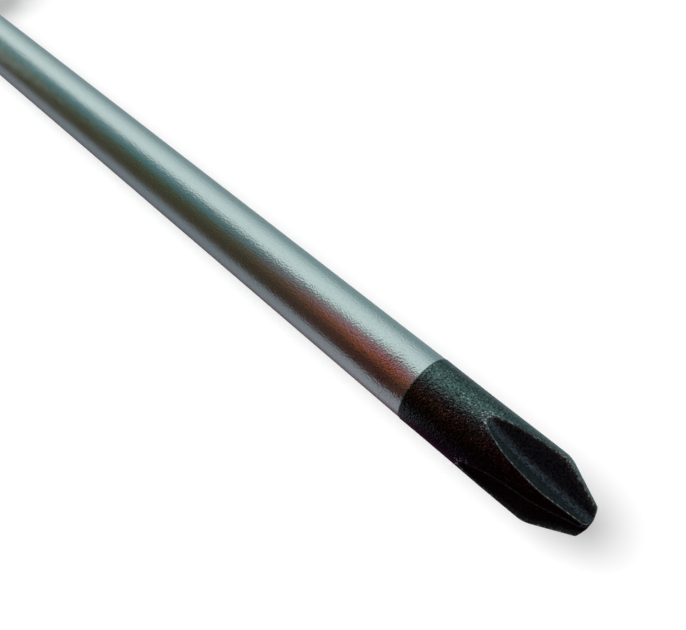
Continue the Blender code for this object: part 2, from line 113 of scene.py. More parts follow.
# %% Set the camera
FRAME_WIDTH = 686
FOCAL_PIXELS = 722.85
SENSOR_WIDTH = 36.0
CAMERA_FROM_NOSE = (3.70 * MM, -27.4 * MM, 48.3 * MM)
CAMERA_HEADING = math.radians(46.56)
CAMERA_ELEVATION = math.radians(49.80)
NEAREST_SEEN = 1.0 * MM
FARTHEST_SEEN = 5.0

camera = bpy.data.objects.new("camera", bpy.data.cameras.new("camera"))
camera.data.sensor_width = SENSOR_WIDTH
camera.data.lens = FOCAL_PIXELS / FRAME_WIDTH * SENSOR_WIDTH
camera.data.clip_start = NEAREST_SEEN
camera.data.clip_end = FARTHEST_SEEN
camera.location = (
    NOSE_X + CAMERA_FROM_NOSE[0],
    CAMERA_FROM_NOSE[1],
    AXIS_Z + CAMERA_FROM_NOSE[2],
)
camera.rotation_euler = (math.pi / 2 - CAMERA_ELEVATION, 0.0, CAMERA_HEADING)
bpy.context.scene.collection.objects.link(camera)
bpy.context.scene.camera = camera
print(f"lens {camera.data.lens:.1f} mm")

# %% [markdown]
# ## Skinning rings
#
# Nearly every piece of this tool is some kind of turned or drawn form, so each is made of rings of
# points round the axis. A Screw modifier could turn a profile, but it can't cut flutes or draw a circle
# out to a hexagon. Rings worked out by a formula can do both, and they leave clean quads. The first
# helpers shape numbers: they round a corner, ease a change in and out, draw a bell round a place, and
# space stations along a piece.

# %% Helpers for numbers


def soft_min(a, b, blend):
    """The smaller of two values, with the corner between them rounded over the blend."""
    share = np.clip(0.5 + 0.5 * (b - a) / blend, 0.0, 1.0)
    return b + (a - b) * share - blend * share * (1 - share)


def ease(share):
    """From 0 to 1 with level ends, and held outside that range."""
    held = np.clip(share, 0.0, 1.0)
    return held * held * (3 - 2 * held)


def near(value, middle, width):
    """A bell of height 1 round a middle value."""
    return np.exp(-(((value - middle) / width) ** 2))


def spaced(*stretches):
    """Stations along stretches of (end, count), starting from 0; each end is included once."""
    stations = [np.array([0.0])]
    start = 0.0
    for end, count in stretches:
        stations.append(np.linspace(start, end, count + 1)[1:])
        start = end
    return np.concatenate(stations)


print(f"two lines that meet at 1 are rounded down to {soft_min(1.0, 1.0, 1.0):.2f} over a blend of 1")

# %% [markdown]
# The next helpers make meshes: points round the axis, a closed skin over rings of them, and values kept
# on the points, because a material can't find an edge or a hollow by itself. A finished mesh becomes a
# piece that takes the place of its solid and rides on the tool.

# %% Helpers for rings


def around(x, radius, angle):
    """Points round the tool's axis; angle 0 is towards +Y and a quarter turn is up."""
    x, radius, angle = np.broadcast_arrays(x, radius, angle)
    return np.stack([x, radius * np.cos(angle), AXIS_Z + radius * np.sin(angle)], axis=-1)


def skin(name, rings, joined=False):
    """Closed mesh over rings of points; joined rings make a tube, others get a fan at each end."""
    rows, columns = rings.shape[:2]
    points = rings.reshape(-1, 3)
    here = np.arange(rows * columns).reshape(rows, columns)
    beside = np.roll(here, -1, axis=1)
    last = rows if joined else rows - 1
    behind = np.roll(here, -1, axis=0)
    behind_beside = np.roll(beside, -1, axis=0)
    quads = np.stack([here, behind, behind_beside, beside], axis=-1)[:last].reshape(-1, 4)
    faces = quads.tolist()
    if not joined:
        middles = rings[[0, -1]].mean(axis=1)
        points = np.concatenate([points, middles])
        front, rear = rows * columns, rows * columns + 1
        faces += [[front, a, b] for a, b in zip(here[0].tolist(), beside[0].tolist())]
        faces += [[rear, b, a] for a, b in zip(here[-1].tolist(), beside[-1].tolist())]
    mesh = bpy.data.meshes.new(name)
    mesh.from_pydata(points.tolist(), [], faces)
    mesh.shade_smooth()
    return mesh


def mark(mesh, name, values):
    """Keep one value for each ring point on the mesh, for its material to read."""
    kept = np.zeros(len(mesh.vertices), np.float32)
    kept[: values.size] = values.reshape(-1)
    mesh.attributes.new(name, "FLOAT", "POINT").data.foreach_set("value", kept)


def add_piece(name, mesh, node):
    """Show a mesh as a piece that rides the tool and stands for a solid."""
    piece = bpy.data.objects.new(name, mesh)
    bpy.context.scene.collection.objects.link(piece)
    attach(piece, "root")
    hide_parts(node)
    print(f"{name}: {len(mesh.polygons)} faces")


print("a quarter turn from +Y lies at", around(0.0, 1.0, math.pi / 2).round(3).tolist())

# %% [markdown]
# ## Blade: the turned bar
#
# The real blade starts as a round bar. It is turned to a blunt nose and a cone, and the corners are
# broken by blasting. Each stretch is a straight line of radius over station, and a soft minimum of the
# lines rounds the corners where they meet, as blasting does. The point is then dipped in a blackening
# bath, and the coat dries with a fat edge, thicker by a few hundredths of a millimetre at its border.

# %% Radius of the turned bar
NOSE_FLAT_RADIUS = 0.45 * MM
NOSE_RADIUS = 1.29 * MM
NOSE_RISE = 0.2 * MM
NOSE_BREAK = 0.6 * MM
POINT_HALF_ANGLE = math.radians(26.3)
SHOULDER_BREAK = 0.25 * MM
SHOULDER = NOSE_RISE + (SHANK_RADIUS - NOSE_RADIUS) / math.tan(POINT_HALF_ANGLE)
BLACKENED_LENGTH = 15.78 * MM
FAT_EDGE = 0.045 * MM
FAT_EDGE_LENGTH = 2.0 * MM
FAT_EDGE_STEP = 0.1 * MM


def bar_radius(station):
    """Radius of the bar with its coat, before the flutes are cut."""
    nose = NOSE_FLAT_RADIUS + station * (NOSE_RADIUS - NOSE_FLAT_RADIUS) / NOSE_RISE
    cone = NOSE_RADIUS + (station - NOSE_RISE) * math.tan(POINT_HALF_ANGLE)
    point = soft_min(nose, cone, NOSE_BREAK)
    from_border = BLACKENED_LENGTH - station
    thickness = FAT_EDGE * np.exp(-np.abs(from_border) / FAT_EDGE_LENGTH)
    coat = thickness * ease(from_border / FAT_EDGE_STEP)
    return soft_min(point, SHANK_RADIUS, SHOULDER_BREAK) + coat


print(f"the cone meets the shank {SHOULDER / MM:.2f} mm behind the nose")

# %% [markdown]
# ## Blade: the four flutes
#
# Four rounded V grooves leave the wings that enter a screw. Each floor climbs straight and then bends
# out of the bar. Cutting them with a Boolean would leave long thin triangles that shade badly, so the
# groove's surface is worked out along rays from the axis, and the bar takes the smaller radius.

# %% Surface of a flute
FLUTE_COUNT = 4
FLUTE_TURN = math.radians(3.0)
FLUTE_HALF_ANGLE = math.radians(46.0)
FLUTE_FLOOR_RADIUS = 0.7 * MM
FLUTE_FLOOR_AT_NOSE = 0.487 * MM
FLUTE_SLOPE = math.radians(9.3)
FLUTE_STRAIGHT = 5.53 * MM
FLUTE_BEND_RADIUS = 10.6 * MM


def flute_floor(station):
    """Distance of the flute's floor from the axis: a straight climb, then an arc."""
    climb = np.minimum(station, FLUTE_STRAIGHT) * math.tan(FLUTE_SLOPE)
    start = math.sin(FLUTE_SLOPE)
    along = np.clip(start + (station - FLUTE_STRAIGHT) / FLUTE_BEND_RADIUS, start, 1.0)
    bend = FLUTE_BEND_RADIUS * (math.cos(FLUTE_SLOPE) - np.sqrt(1 - along**2))
    return FLUTE_FLOOR_AT_NOSE + climb + bend


SWING = math.pi / 2 - FLUTE_HALF_ANGLE
LIP_ACROSS = FLUTE_FLOOR_RADIUS * math.sin(SWING)
LIP_HEIGHT = FLUTE_FLOOR_RADIUS * (1 - math.cos(SWING))
APEX_DROP = LIP_ACROSS / math.tan(FLUTE_HALF_ANGLE) - LIP_HEIGHT


def flute_radius(floor, across):
    """Radius of the flute's surface at an angle across from its middle."""
    centre = floor + FLUTE_FLOOR_RADIUS
    sideways = np.minimum(centre * np.sin(across), FLUTE_FLOOR_RADIUS)
    rounded = centre * np.cos(across) - np.sqrt(FLUTE_FLOOR_RADIUS**2 - sideways**2)
    wall = (floor - APEX_DROP) * math.sin(FLUTE_HALF_ANGLE) / np.sin(FLUTE_HALF_ANGLE - across)
    return np.where(across < np.arctan2(LIP_ACROSS, floor + LIP_HEIGHT), rounded, wall)


def flute_edge(station):
    """Angle from a flute's middle to its edge, and 0 behind its end."""
    radius = bar_radius(station)
    floor = flute_floor(station)
    centre = floor + FLUTE_FLOOR_RADIUS
    reach = np.minimum((floor - APEX_DROP) * math.sin(FLUTE_HALF_ANGLE) / radius, 1.0)
    on_wall = FLUTE_HALF_ANGLE - np.arcsin(reach)
    cosine = (radius**2 + centre**2 - FLUTE_FLOOR_RADIUS**2) / (2 * radius * centre)
    on_floor = np.arccos(np.clip(cosine, -1.0, 1.0))
    lip = np.arctan2(LIP_ACROSS, floor + LIP_HEIGHT)
    return np.where(floor >= radius, 0.0, np.where(on_wall > lip, on_wall, on_floor))


print(f"flute edge at the shoulder: {math.degrees(flute_edge(np.array(SHOULDER))):.1f} degrees")

# %% [markdown]
# ## Blade: columns that follow the edges
#
# A crisp edge needs a column of points right on it and a few close beside it. So the columns of every
# ring follow the flute's edge as it narrows. Behind the flute's end they spread out again.

# %% Columns of one ring
FLUTE_COLUMNS = 11
LAND_COLUMNS = 7
EDGE_OFFSETS = np.array([-0.30, -0.16, -0.08, -0.04, 0.0, 0.04, 0.08, 0.16, 0.30]) * MM
EDGE_ROOM = 0.6
LARGEST_WINS = 8
NARROWEST = math.radians(5.0)
AT_REST = math.radians(22.0)
FLUTE_END = 9.65 * MM
REST_LENGTH = 6.0 * MM
EIGHTH = math.pi / FLUTE_COUNT


def ring_columns(station):
    """Angles from the middle of a flute to the middle of the land beside it."""
    measured_at = np.maximum(station, NOSE_RISE)
    radius = bar_radius(measured_at)
    spread = AT_REST * ease((station - FLUTE_END) / REST_LENGTH)
    edge = np.linalg.norm([flute_edge(measured_at), NARROWEST, spread], ord=LARGEST_WINS)
    room = min(edge, EIGHTH - edge) * radius
    offsets = EDGE_OFFSETS * min(1.0, EDGE_ROOM * room / EDGE_OFFSETS[-1]) / radius
    flute = np.linspace(0.0, edge + offsets[0], FLUTE_COLUMNS, endpoint=False)
    land = np.linspace(edge + offsets[-1], EIGHTH, LAND_COLUMNS)[1:]
    return np.concatenate([flute, edge + offsets, land])


def whole_turn(half, count):
    """Mirror the angles of half a repeat and go round with as many repeats as counted."""
    repeat = 2 * math.pi / count
    both_halves = np.concatenate([half, repeat - half[-2:0:-1]])
    return np.concatenate([both_halves + repeat * k for k in range(count)])


print(f"{len(whole_turn(ring_columns(np.array(SHOULDER)), FLUTE_COUNT))} columns round the blade")

# %% [markdown]
# ## Blade: the winged tang
#
# Inside the handle the bar is pressed flat into two wings, so that it can't turn in the plastic. It
# doesn't show, but a blade without it would be half a piece. Scaling a stretch of the mesh would smear
# its rings, so an oval in polar form replaces the circle there.

# %% Radius of the tang
TANG_WING_HALF_WIDTH = (blade_high.y - blade_low.y) / 2
TANG_WING_FRONT = SLEEVE_REAR + 6.0 * MM
TANG_WING_TAPER = 3.0 * MM
TANG_WING_LENGTH = 14.0 * MM


def tang_radius(station, angle, growth=0.0):
    """Radius of the bar behind the handle's front: round, with two flat wings."""
    rise = ease((station - TANG_WING_FRONT) / TANG_WING_TAPER)
    wing_rear = TANG_WING_FRONT + TANG_WING_TAPER + TANG_WING_LENGTH
    fall = ease((station - wing_rear) / TANG_WING_TAPER)
    width = SHANK_RADIUS + (TANG_WING_HALF_WIDTH - SHANK_RADIUS) * (rise - fall)
    height = SHANK_RADIUS**2 / width
    width, height = width + growth, height + growth
    return width * height / np.hypot(height * np.cos(angle), width * np.sin(angle))


print(f"the tang is {2 * TANG_WING_HALF_WIDTH / MM:.1f} mm wide across its wings")

# %% [markdown]
# ## Blade: one ring of the point
#
# A ring takes the smaller of the bar's radius and the flute's. Screws rub the edge between the two, and
# the coat flakes off beside it, most of all at the shoulder of one wing and where the flutes run out.
# Painting such marks by hand would tie them to one mesh. Here each point keeps how near it lies to
# them, and whether it lies in a flute.

# %% One ring of the blade
EDGE_BREAK = 0.16 * MM
WEAR_WIDTH = 0.065 * MM
CHIPPED_WING = 3
CHIP_REACH = 0.6 * MM
CHIP_MIDDLE = CHIP_REACH / 3
CHIP_WIDTH = CHIP_REACH / 2
RUN_OUT_CHIPS = 0.5


def blade_ring(station):
    """Points, worn edges, chips and flutes of one ring of the blade."""
    columns = whole_turn(ring_columns(station), FLUTE_COUNT)
    across = np.abs((columns + EIGHTH) % (2 * EIGHTH) - EIGHTH)
    angle = columns + math.pi / 2 + FLUTE_TURN
    bar = bar_radius(station)
    if station > BLADE_REACH:
        bar = tang_radius(station - BLADE_REACH, angle)
    floor = flute_floor(station)
    radius = soft_min(bar, flute_radius(floor, across), EDGE_BREAK)
    from_edge = (across - flute_edge(station)) * bar
    wear = near(from_edge, 0.0, WEAR_WIDTH) * (floor < bar)
    beside_edge = near(from_edge, CHIP_MIDDLE, CHIP_WIDTH)
    corner = near(station, SHOULDER, CHIP_REACH) * (columns // (2 * EIGHTH) == CHIPPED_WING)
    chips = beside_edge * np.maximum(corner, RUN_OUT_CHIPS * near(station, FLUTE_END, CHIP_REACH))
    in_flute = ease(-from_edge / EDGE_BREAK) * (floor < bar)
    return around(NOSE_X - station, radius, angle), wear, chips, in_flute


in_flutes = blade_ring(np.array(SHOULDER))[3]
print(f"{in_flutes.mean():.0%} of the points at the shoulder lie in the flutes")

# %% [markdown]
# ## Blade: the whole skin
#
# The rings lie close together at the nose, at the shoulder and where the flutes end, and far apart
# along the plain shank. Even rings fine enough for the point would make the shank needlessly heavy. The
# tang ends in a small chamfer.

# %% Skin the blade
TANG_CHAMFER = 0.8 * MM
AROUND_SHOULDER = 0.5 * MM
BEFORE_RUN_OUT = 0.7 * MM
BEHIND_RUN_OUT = 0.2 * MM

blade_stations = spaced(
    (NOSE_RISE, 8),
    (2 * NOSE_RISE, 5),
    (SHOULDER - AROUND_SHOULDER, 34),
    (SHOULDER + AROUND_SHOULDER, 20),
    (FLUTE_END - BEFORE_RUN_OUT, 56),
    (FLUTE_END + BEHIND_RUN_OUT, 36),
    (FLUTE_END + REST_LENGTH, 14),
    (BLACKENED_LENGTH, 5),
    (BLADE_REACH, 50),
    (BLADE_REACH + TANG_WING_FRONT, 4),
    (BLADE_REACH + TANG_WING_FRONT + TANG_WING_TAPER, 5),
    (BLADE_REACH + TANG_WING_FRONT + TANG_WING_TAPER + TANG_WING_LENGTH, 2),
    (BLADE_REACH + TANG_WING_FRONT + 2 * TANG_WING_TAPER + TANG_WING_LENGTH, 5),
    (BLADE_REACH + TANG_END - TANG_CHAMFER, 4),
)
blade_points = [blade_ring(station) for station in blade_stations]
blade_rings, blade_wear, blade_chips, blade_flutes = zip(*blade_points)
tang_face = blade_rings[-1].copy()
tang_face[:, 0] -= TANG_CHAMFER
tang_face[:, 1:] *= 1 - TANG_CHAMFER / SHANK_RADIUS
tang_face[:, 2] += AXIS_Z * TANG_CHAMFER / SHANK_RADIUS
blade_mesh = skin("blade", np.array([*blade_rings, tang_face]))
mark(blade_mesh, "edge", np.array(blade_wear))
mark(blade_mesh, "chip", np.array(blade_chips))
mark(blade_mesh, "flute", np.array(blade_flutes))
add_piece("fluted_blade", blade_mesh, "blade")

# %% [markdown]
# ## Turned profiles
#
# The collar and the end cap are moulded, but their forms are turned ones: a profile of straight runs
# with a small rounding at every corner. A mould is never cut to a knife edge, and a rounded corner
# catches a thin line of light that tells the eye how large the piece is. A Bevel modifier would round
# every edge alike, so each corner of the profile has a rounding of its own.

# %% Helpers for turned profiles
ARC_STEPS = 5
TURNED_COLUMNS = 120
SEAM = 0.06 * MM
SEAM_DUST = 0.5 * MM


def rounded_profile(*corners):
    """Stations and radii through corners of (station, radius, rounding), with arcs at the corners."""
    spots = [np.array(corner[:2]) for corner in corners]
    points = [spots[0]]
    for before, spot, after, corner in zip(spots, spots[1:], spots[2:], corners[1:]):
        rounding = corner[2]
        if rounding == 0.0:
            points.append(spot)
            continue
        into = (spot - before) / np.linalg.norm(spot - before)
        out = (after - spot) / np.linalg.norm(after - spot)
        turn = math.acos(np.clip(into @ out, -1.0, 1.0))
        sideways = out - into * (into @ out)
        sideways /= np.linalg.norm(sideways)
        centre = spot - into * rounding * math.tan(turn / 2) + sideways * rounding
        for angle in np.linspace(0.0, turn, ARC_STEPS + 1):
            points.append(centre + rounding * (into * math.sin(angle) - sideways * math.cos(angle)))
    return np.array([*points, spots[-1]])


def turned(profile, angle):
    """Rings of a profile turned about the tool's axis, behind the handle's front."""
    return around(HANDLE_X - profile[:, :1], profile[:, 1:], angle)


even_turn = np.linspace(0.0, 2 * math.pi, TURNED_COLUMNS, endpoint=False)
print(f"{TURNED_COLUMNS} columns round a turned piece")

# %% [markdown]
# ## Core and collar
#
# A hard plastic core is moulded round the tang first. Only its collar shows, where the shank enters the
# handle. The skin starts at the blind end of the socket, comes forward to the collar's face and goes
# back outside, so the core is one closed piece that really holds the tang. Its six ribs key into the
# shell.

# %% Skin the core
COLLAR_RADIUS = 6.2 * MM
COLLAR_FACE_RADIUS = 5.3 * MM
COLLAR_CHAMFER = 0.9 * MM
CORE_BELLY = TANG_WING_FRONT
CORE_BELLY_RADIUS = 8.45 * MM
CORE_RIB_RADIUS = core_high.y
CORE_RIB_RAMP = 1.5 * MM
CORE_RIB_HALF_ANGLE = math.radians(10.0)
CORE_RIB_FLANK = math.radians(2.0)
SOCKET_ROWS = 50
HANDLE_SIDES = 6
SECTOR = 2 * math.pi / HANDLE_SIDES


def from_corner(angle):
    """Angle to the nearest corner of the hexagonal handle."""
    return np.abs((angle + SECTOR / 2) % SECTOR - SECTOR / 2)


def core_rib(station, angle):
    """Height of the keying ribs on the core."""
    flank = ease((CORE_RIB_HALF_ANGLE - from_corner(angle)) / CORE_RIB_FLANK)
    front = np.clip((station - CORE_BELLY) / CORE_RIB_RAMP, 0.0, 1.0)
    rear = np.clip((CORE_REAR - station) / CORE_RIB_RAMP, 0.0, 1.0)
    return (CORE_RIB_RADIUS - CORE_BELLY_RADIUS) * flank * np.minimum(front, rear)


socket = np.linspace(TANG_END + SEAM, COLLAR_CHAMFER, SOCKET_ROWS)[:, None]
core_outside = rounded_profile(
    (COLLAR_CHAMFER / 2, SHANK_RADIUS + SEAM, 0.0),
    (0.0, SHANK_RADIUS + SEAM, 0.15 * MM),
    (0.0, COLLAR_FACE_RADIUS, 0.4 * MM),
    (COLLAR_CHAMFER, COLLAR_RADIUS, 0.5 * MM),
    (SLEEVE_REAR, COLLAR_RADIUS, 2.0 * MM),
    (CORE_BELLY, CORE_BELLY_RADIUS, 2.0 * MM),
    (CORE_BELLY + CORE_RIB_RAMP, CORE_BELLY_RADIUS, 0.0),
    (CORE_REAR - CORE_RIB_RAMP, CORE_BELLY_RADIUS, 0.0),
    (CORE_REAR, CORE_BELLY_RADIUS, 0.0),
)
core_stations = np.concatenate([socket, core_outside[:, :1]])
core_radii = np.concatenate(
    [
        tang_radius(socket, even_turn, SEAM),
        core_outside[:, 1:] + core_rib(core_outside[:, :1], even_turn),
    ]
)
core_mesh = skin("inner_core", around(HANDLE_X - core_stations, core_radii, even_turn))
shank_seam = near(core_radii, SHANK_RADIUS, SEAM_DUST)
shell_seam = near(core_stations, SHELL_FRONT, SEAM_DUST)
mark(core_mesh, "hollow", shank_seam + shell_seam)
collar_edge = near(core_stations, COLLAR_CHAMFER / 2, COLLAR_CHAMFER / 2)
mark(core_mesh, "edge", np.broadcast_to(collar_edge, core_radii.shape))
add_piece("collared_core", core_mesh, "inner_core")

# %% [markdown]
# ## Handle: one surface for the shell and its grips
#
# The handle's section changes all the way: a circle at the rim, a hexagon with rounded corners at the
# flange, a circle under the fingers and a hexagon again at the belly. Primitives joined by Booleans
# would leave seams between those forms. One formula for the radius at any station and angle has none,
# and the shell, the sleeve and the pads can all be laid on it.

# %% Surface of the handle
RIM_RADIUS = 8.7 * MM
RIM_EDGE = 0.8 * MM
FLANGE_FRONT = 8.5 * MM
FLANGE_REAR = 15.0 * MM
FLANGE_FOOT = HANDLE_APOTHEM - 1.0 * MM
FLANGE_CORNER = 4.5 * MM
FLANGE_BREAK = 0.6 * MM
SHOULDER_FRONT = SHELL_FRONT + RIM_EDGE
WAIST = (SLEEVE_FRONT + SLEEVE_REAR) / 2
WAIST_RADIUS = 11.0 * MM
WAIST_FLARE = 0.8 * MM
SLEEVE_END_RADIUS = WAIST_RADIUS + WAIST_FLARE
BELLY = SLEEVE_REAR + 30.0 * MM
BELLY_ROUNDNESS = 6.3 * MM / HANDLE_APOTHEM
TAIL = PAD_REAR + 3.0 * MM
TAIL_FALL = 1.8 * MM
REAR_APOTHEM = 10.2 * MM


def hexagon(angle, apothem, corner):
    """Radius of a hexagon with rounded corners; a corner as large as the apothem gives a circle."""
    to_corner = from_corner(angle)
    to_flat = SECTOR / 2 - to_corner
    centre = (apothem - corner) / math.cos(SECTOR / 2)
    flat_end = np.arctan2(centre * math.sin(SECTOR / 2), apothem)
    on_flat = apothem / np.cos(to_flat)
    sideways = np.minimum(centre * np.sin(to_corner), corner)
    on_corner = centre * np.cos(to_corner) + np.sqrt(corner**2 - sideways**2)
    return np.where(to_flat <= flat_end, on_flat, on_corner)


def front_apothem(station):
    """Distance from the axis to the flats, from the rim to the sleeve."""
    run = np.maximum((station - SHOULDER_FRONT) / (FLANGE_FRONT - SHOULDER_FRONT), 0.0)
    rise = np.maximum((SLEEVE_FRONT - station) / (SLEEVE_FRONT - FLANGE_REAR), 0.0)
    rim = RIM_RADIUS + RIM_EDGE
    shoulder = rim + (FLANGE_FOOT - rim) * run**2
    neck = SLEEVE_END_RADIUS + (FLANGE_FOOT - SLEEVE_END_RADIUS) * rise**2
    return soft_min(soft_min(shoulder, HANDLE_APOTHEM, FLANGE_BREAK), neck, FLANGE_BREAK)


def grip_apothem(station):
    """Distance from the axis to the flats, from the sleeve to the rear face."""
    waist = WAIST_RADIUS + WAIST_FLARE * ((station - WAIST) / (SLEEVE_REAR - WAIST)) ** 2
    swell = np.clip((station - SLEEVE_REAR) / (BELLY - SLEEVE_REAR), 0.0, 1.0)
    flare = 2 * WAIST_FLARE * (BELLY - SLEEVE_REAR) / (SLEEVE_REAR - WAIST)
    flank = SLEEVE_END_RADIUS + (HANDLE_APOTHEM - SLEEVE_END_RADIUS) * ease(swell)
    flank += flare * swell * (1 - swell) ** 2
    fall = HANDLE_APOTHEM - TAIL_FALL * ((station - BELLY) / (TAIL - BELLY)) ** 2
    last_fall = HANDLE_APOTHEM - TAIL_FALL * ((SHELL_REAR - BELLY) / (TAIL - BELLY)) ** 2
    rounding = np.clip((station - TAIL) / (SHELL_REAR - TAIL), 0.0, 1.0)
    fall -= (last_fall - REAR_APOTHEM) * (1 - np.sqrt(1 - rounding**2))
    return np.where(station < SLEEVE_REAR, waist, np.where(station < BELLY, flank, fall))


def handle_radius(station, angle):
    """Radius of the handle's whole surface."""
    on_front = station < SLEEVE_FRONT
    apothem = np.where(on_front, front_apothem(station), grip_apothem(station))
    squared = ease((station - SHOULDER_FRONT) / (FLANGE_FRONT - SHOULDER_FRONT))
    squared -= ease((station - FLANGE_REAR) / (SLEEVE_FRONT - FLANGE_REAR))
    flange_corner = apothem + (FLANGE_CORNER - apothem) * squared
    swell = ease((station - SLEEVE_REAR) / (BELLY - SLEEVE_REAR))
    belly_corner = apothem * (1 - (1 - BELLY_ROUNDNESS) * swell)
    return hexagon(angle, apothem, np.where(on_front, flange_corner, belly_corner))


print(f"waist {2 * WAIST_RADIUS / MM:.1f} mm, belly {2 * grip_apothem(BELLY) / MM:.1f} mm across flats")

# %% [markdown]
# ## Pads: their outline
#
# Soft strips lie in pockets of the shell, one on each flat. A pad and its pocket share one outline, a
# long rectangle with round corners. Here it is a width for each station, which places the columns of
# points, and a distance from the outline, which shapes the pocket's wall and the pad's round edge.

# %% Outline of a pad
PAD_HALF_ANGLE = math.radians(19.0)
PAD_CORNER = 3.8 * MM
PAD_GAP = 0.2 * MM


def pad_apothem(station):
    """Distance from the axis to the flat under a pad; beyond its ends it keeps the last distance."""
    return grip_apothem(np.clip(station, PAD_FRONT, PAD_REAR))


def pad_half_width(station, growth):
    """Half the width of the outline, grown on all sides; beyond the ends it keeps the last width."""
    corner = PAD_CORNER + growth
    from_end = np.minimum(station - PAD_FRONT, PAD_REAR - station) + growth
    short = np.clip(corner - from_end, 0.0, corner)
    inset = corner - np.sqrt(corner**2 - short**2)
    return PAD_HALF_ANGLE * pad_apothem(station) + growth - inset


def pad_distance(station, across):
    """Distance in the surface from the outline; it is negative inside."""
    along = np.abs(station - (PAD_FRONT + PAD_REAR) / 2) - (PAD_REAR - PAD_FRONT) / 2 + PAD_CORNER
    aside = (np.abs(across) - PAD_HALF_ANGLE) * pad_apothem(station) + PAD_CORNER
    beyond = np.hypot(np.maximum(along, 0.0), np.maximum(aside, 0.0))
    return beyond + np.minimum(np.maximum(along, aside), 0.0) - PAD_CORNER


widest_pad = 2 * pad_half_width(np.array(BELLY), 0.0)
print(f"a pad is {(PAD_REAR - PAD_FRONT) / MM:.1f} mm long and up to {widest_pad / MM:.1f} mm wide")

# %% [markdown]
# ## Shell
#
# The shell is a hollow moulding: the rim, the flange, a groove for the finger sleeve, six pockets, the
# rounded rear and a stepped bore. Rings run back along the outside and forward again inside, and the
# last ring joins the first. Its columns follow the edge of the pockets, as they follow the flutes on
# the blade. The belly lies a hair lower than the pads, because a grip that is level with its shell
# feels hard.

# %% Columns of the shell
POCKET_OFFSETS = np.array([-0.5, -0.2, -0.075, 0.05, 0.3]) * MM
POCKET_COLUMNS = 12
CORNER_COLUMNS = 9
POCKET_ROOM = 0.8
SPREAD_LENGTH = 4.0 * MM


def shell_columns(station):
    """Angles from the middle of a flat to the corner beside it, close together at the pocket's edge."""
    beyond = np.maximum(PAD_FRONT - station, station - PAD_REAR)
    wide = PAD_HALF_ANGLE * pad_apothem(station)
    width = pad_half_width(station, 0.0)
    width += (wide - width) * ease(beyond / SPREAD_LENGTH)
    offsets = POCKET_OFFSETS * min(1.0, POCKET_ROOM * width / -POCKET_OFFSETS[0])
    edge = (width + offsets) / pad_apothem(station)
    inside = np.linspace(0.0, edge[0], POCKET_COLUMNS, endpoint=False)
    outside = np.linspace(edge[-1], SECTOR / 2, CORNER_COLUMNS + 1)[1:]
    return np.concatenate([inside, edge, outside])


print(f"{len(whole_turn(shell_columns(np.array(BELLY)), HANDLE_SIDES))} columns round the shell")

# %% [markdown]
# A pocket is a drop in the radius inside its outline, with a short wall, and a Boolean isn't needed for
# it. The rows of points follow the forms too: they lie close together over the flange, at the ends of
# the pads and round the rear edge.

# %% Rows of the shell
GROOVE_LIP = 0.3 * MM
SLEEVE_FLOOR = 9.0 * MM
BELLY_DROP = 0.12 * MM
BELLY_DROP_LENGTH = 3.0 * MM
POCKET_DEPTH = 0.95 * MM
POCKET_WALL = 0.25 * MM
POCKET_EDGE = 0.05 * MM
BORE_RADIUS = CORE_RIB_RADIUS + SEAM
PLUG_RADIUS = 5.5 * MM
CAP_SEAT = SHELL_REAR - 1.4 * MM
QUARTER = np.linspace(0.0, math.pi / 2, 6)
PAD_END_OFFSETS = np.array([-0.3, -0.05, 0.075, 0.2]) * MM


def shell_ring(station, drop=0.0):
    """One ring of the shell's outside, with its pockets."""
    columns = whole_turn(shell_columns(np.asarray(station)), HANDLE_SIDES)
    angle = columns + math.pi / 2
    across = (columns + SECTOR / 2) % SECTOR - SECTOR / 2
    lowered = BELLY_DROP * ease((station - SLEEVE_REAR - GROOVE_LIP) / BELLY_DROP_LENGTH)
    pocket = POCKET_DEPTH * ease((POCKET_EDGE - pad_distance(station, across)) / POCKET_WALL)
    radius = handle_radius(station, angle) - lowered - pocket - drop
    return around(HANDLE_X - station, radius, angle)


def bore_ring(station, radius):
    """One round ring inside the shell, on the same columns."""
    angle = whole_turn(shell_columns(np.asarray(station)), HANDLE_SIDES) + math.pi / 2
    return around(HANDLE_X - station, radius, angle)


def stretch(start, end, count):
    """Evenly spaced stations after the start, up to the end."""
    return np.linspace(start, end, count + 1)[1:]


pad_round = PAD_CORNER * (1 - np.cos(QUARTER[1:]))
pad_rows = np.concatenate(
    [
        PAD_FRONT + PAD_END_OFFSETS,
        PAD_FRONT + PAD_END_OFFSETS[-1] + stretch(0.0, pad_round[0], 2),
        PAD_FRONT + PAD_END_OFFSETS[-1] + stretch(pad_round[0], PAD_CORNER, 14),
    ]
)
front_rows = np.concatenate(
    [
        stretch(SHOULDER_FRONT, FLANGE_FRONT, 14),
        stretch(FLANGE_FRONT, FLANGE_REAR, 44),
        stretch(FLANGE_REAR, SLEEVE_FRONT - SEAM - GROOVE_LIP, 10)[:-1],
    ]
)
belly_rows = np.concatenate(
    [
        stretch(SLEEVE_REAR + SEAM + GROOVE_LIP, pad_rows[0], 10)[:-1],
        pad_rows,
        stretch(pad_rows[-1], PAD_FRONT + PAD_REAR - pad_rows[-1], 44)[:-1],
        (PAD_FRONT + PAD_REAR - pad_rows)[::-1],
        stretch(PAD_FRONT + PAD_REAR - pad_rows[0], TAIL, 5),
        TAIL + (SHELL_REAR - TAIL) * np.sin(np.linspace(0.0, math.pi / 2, 15)[1:]),
    ]
)
print(f"{len(front_rows)} rows ahead of the sleeve and {len(belly_rows)} behind it")

# %% [markdown]
# Now the rings are put in order: the rim, the flange, the groove for the sleeve, the belly, and the bore
# from the rear to the front. Hands polish the corners of the flange and of the tail, and dust settles
# along the seams, so both are marked.

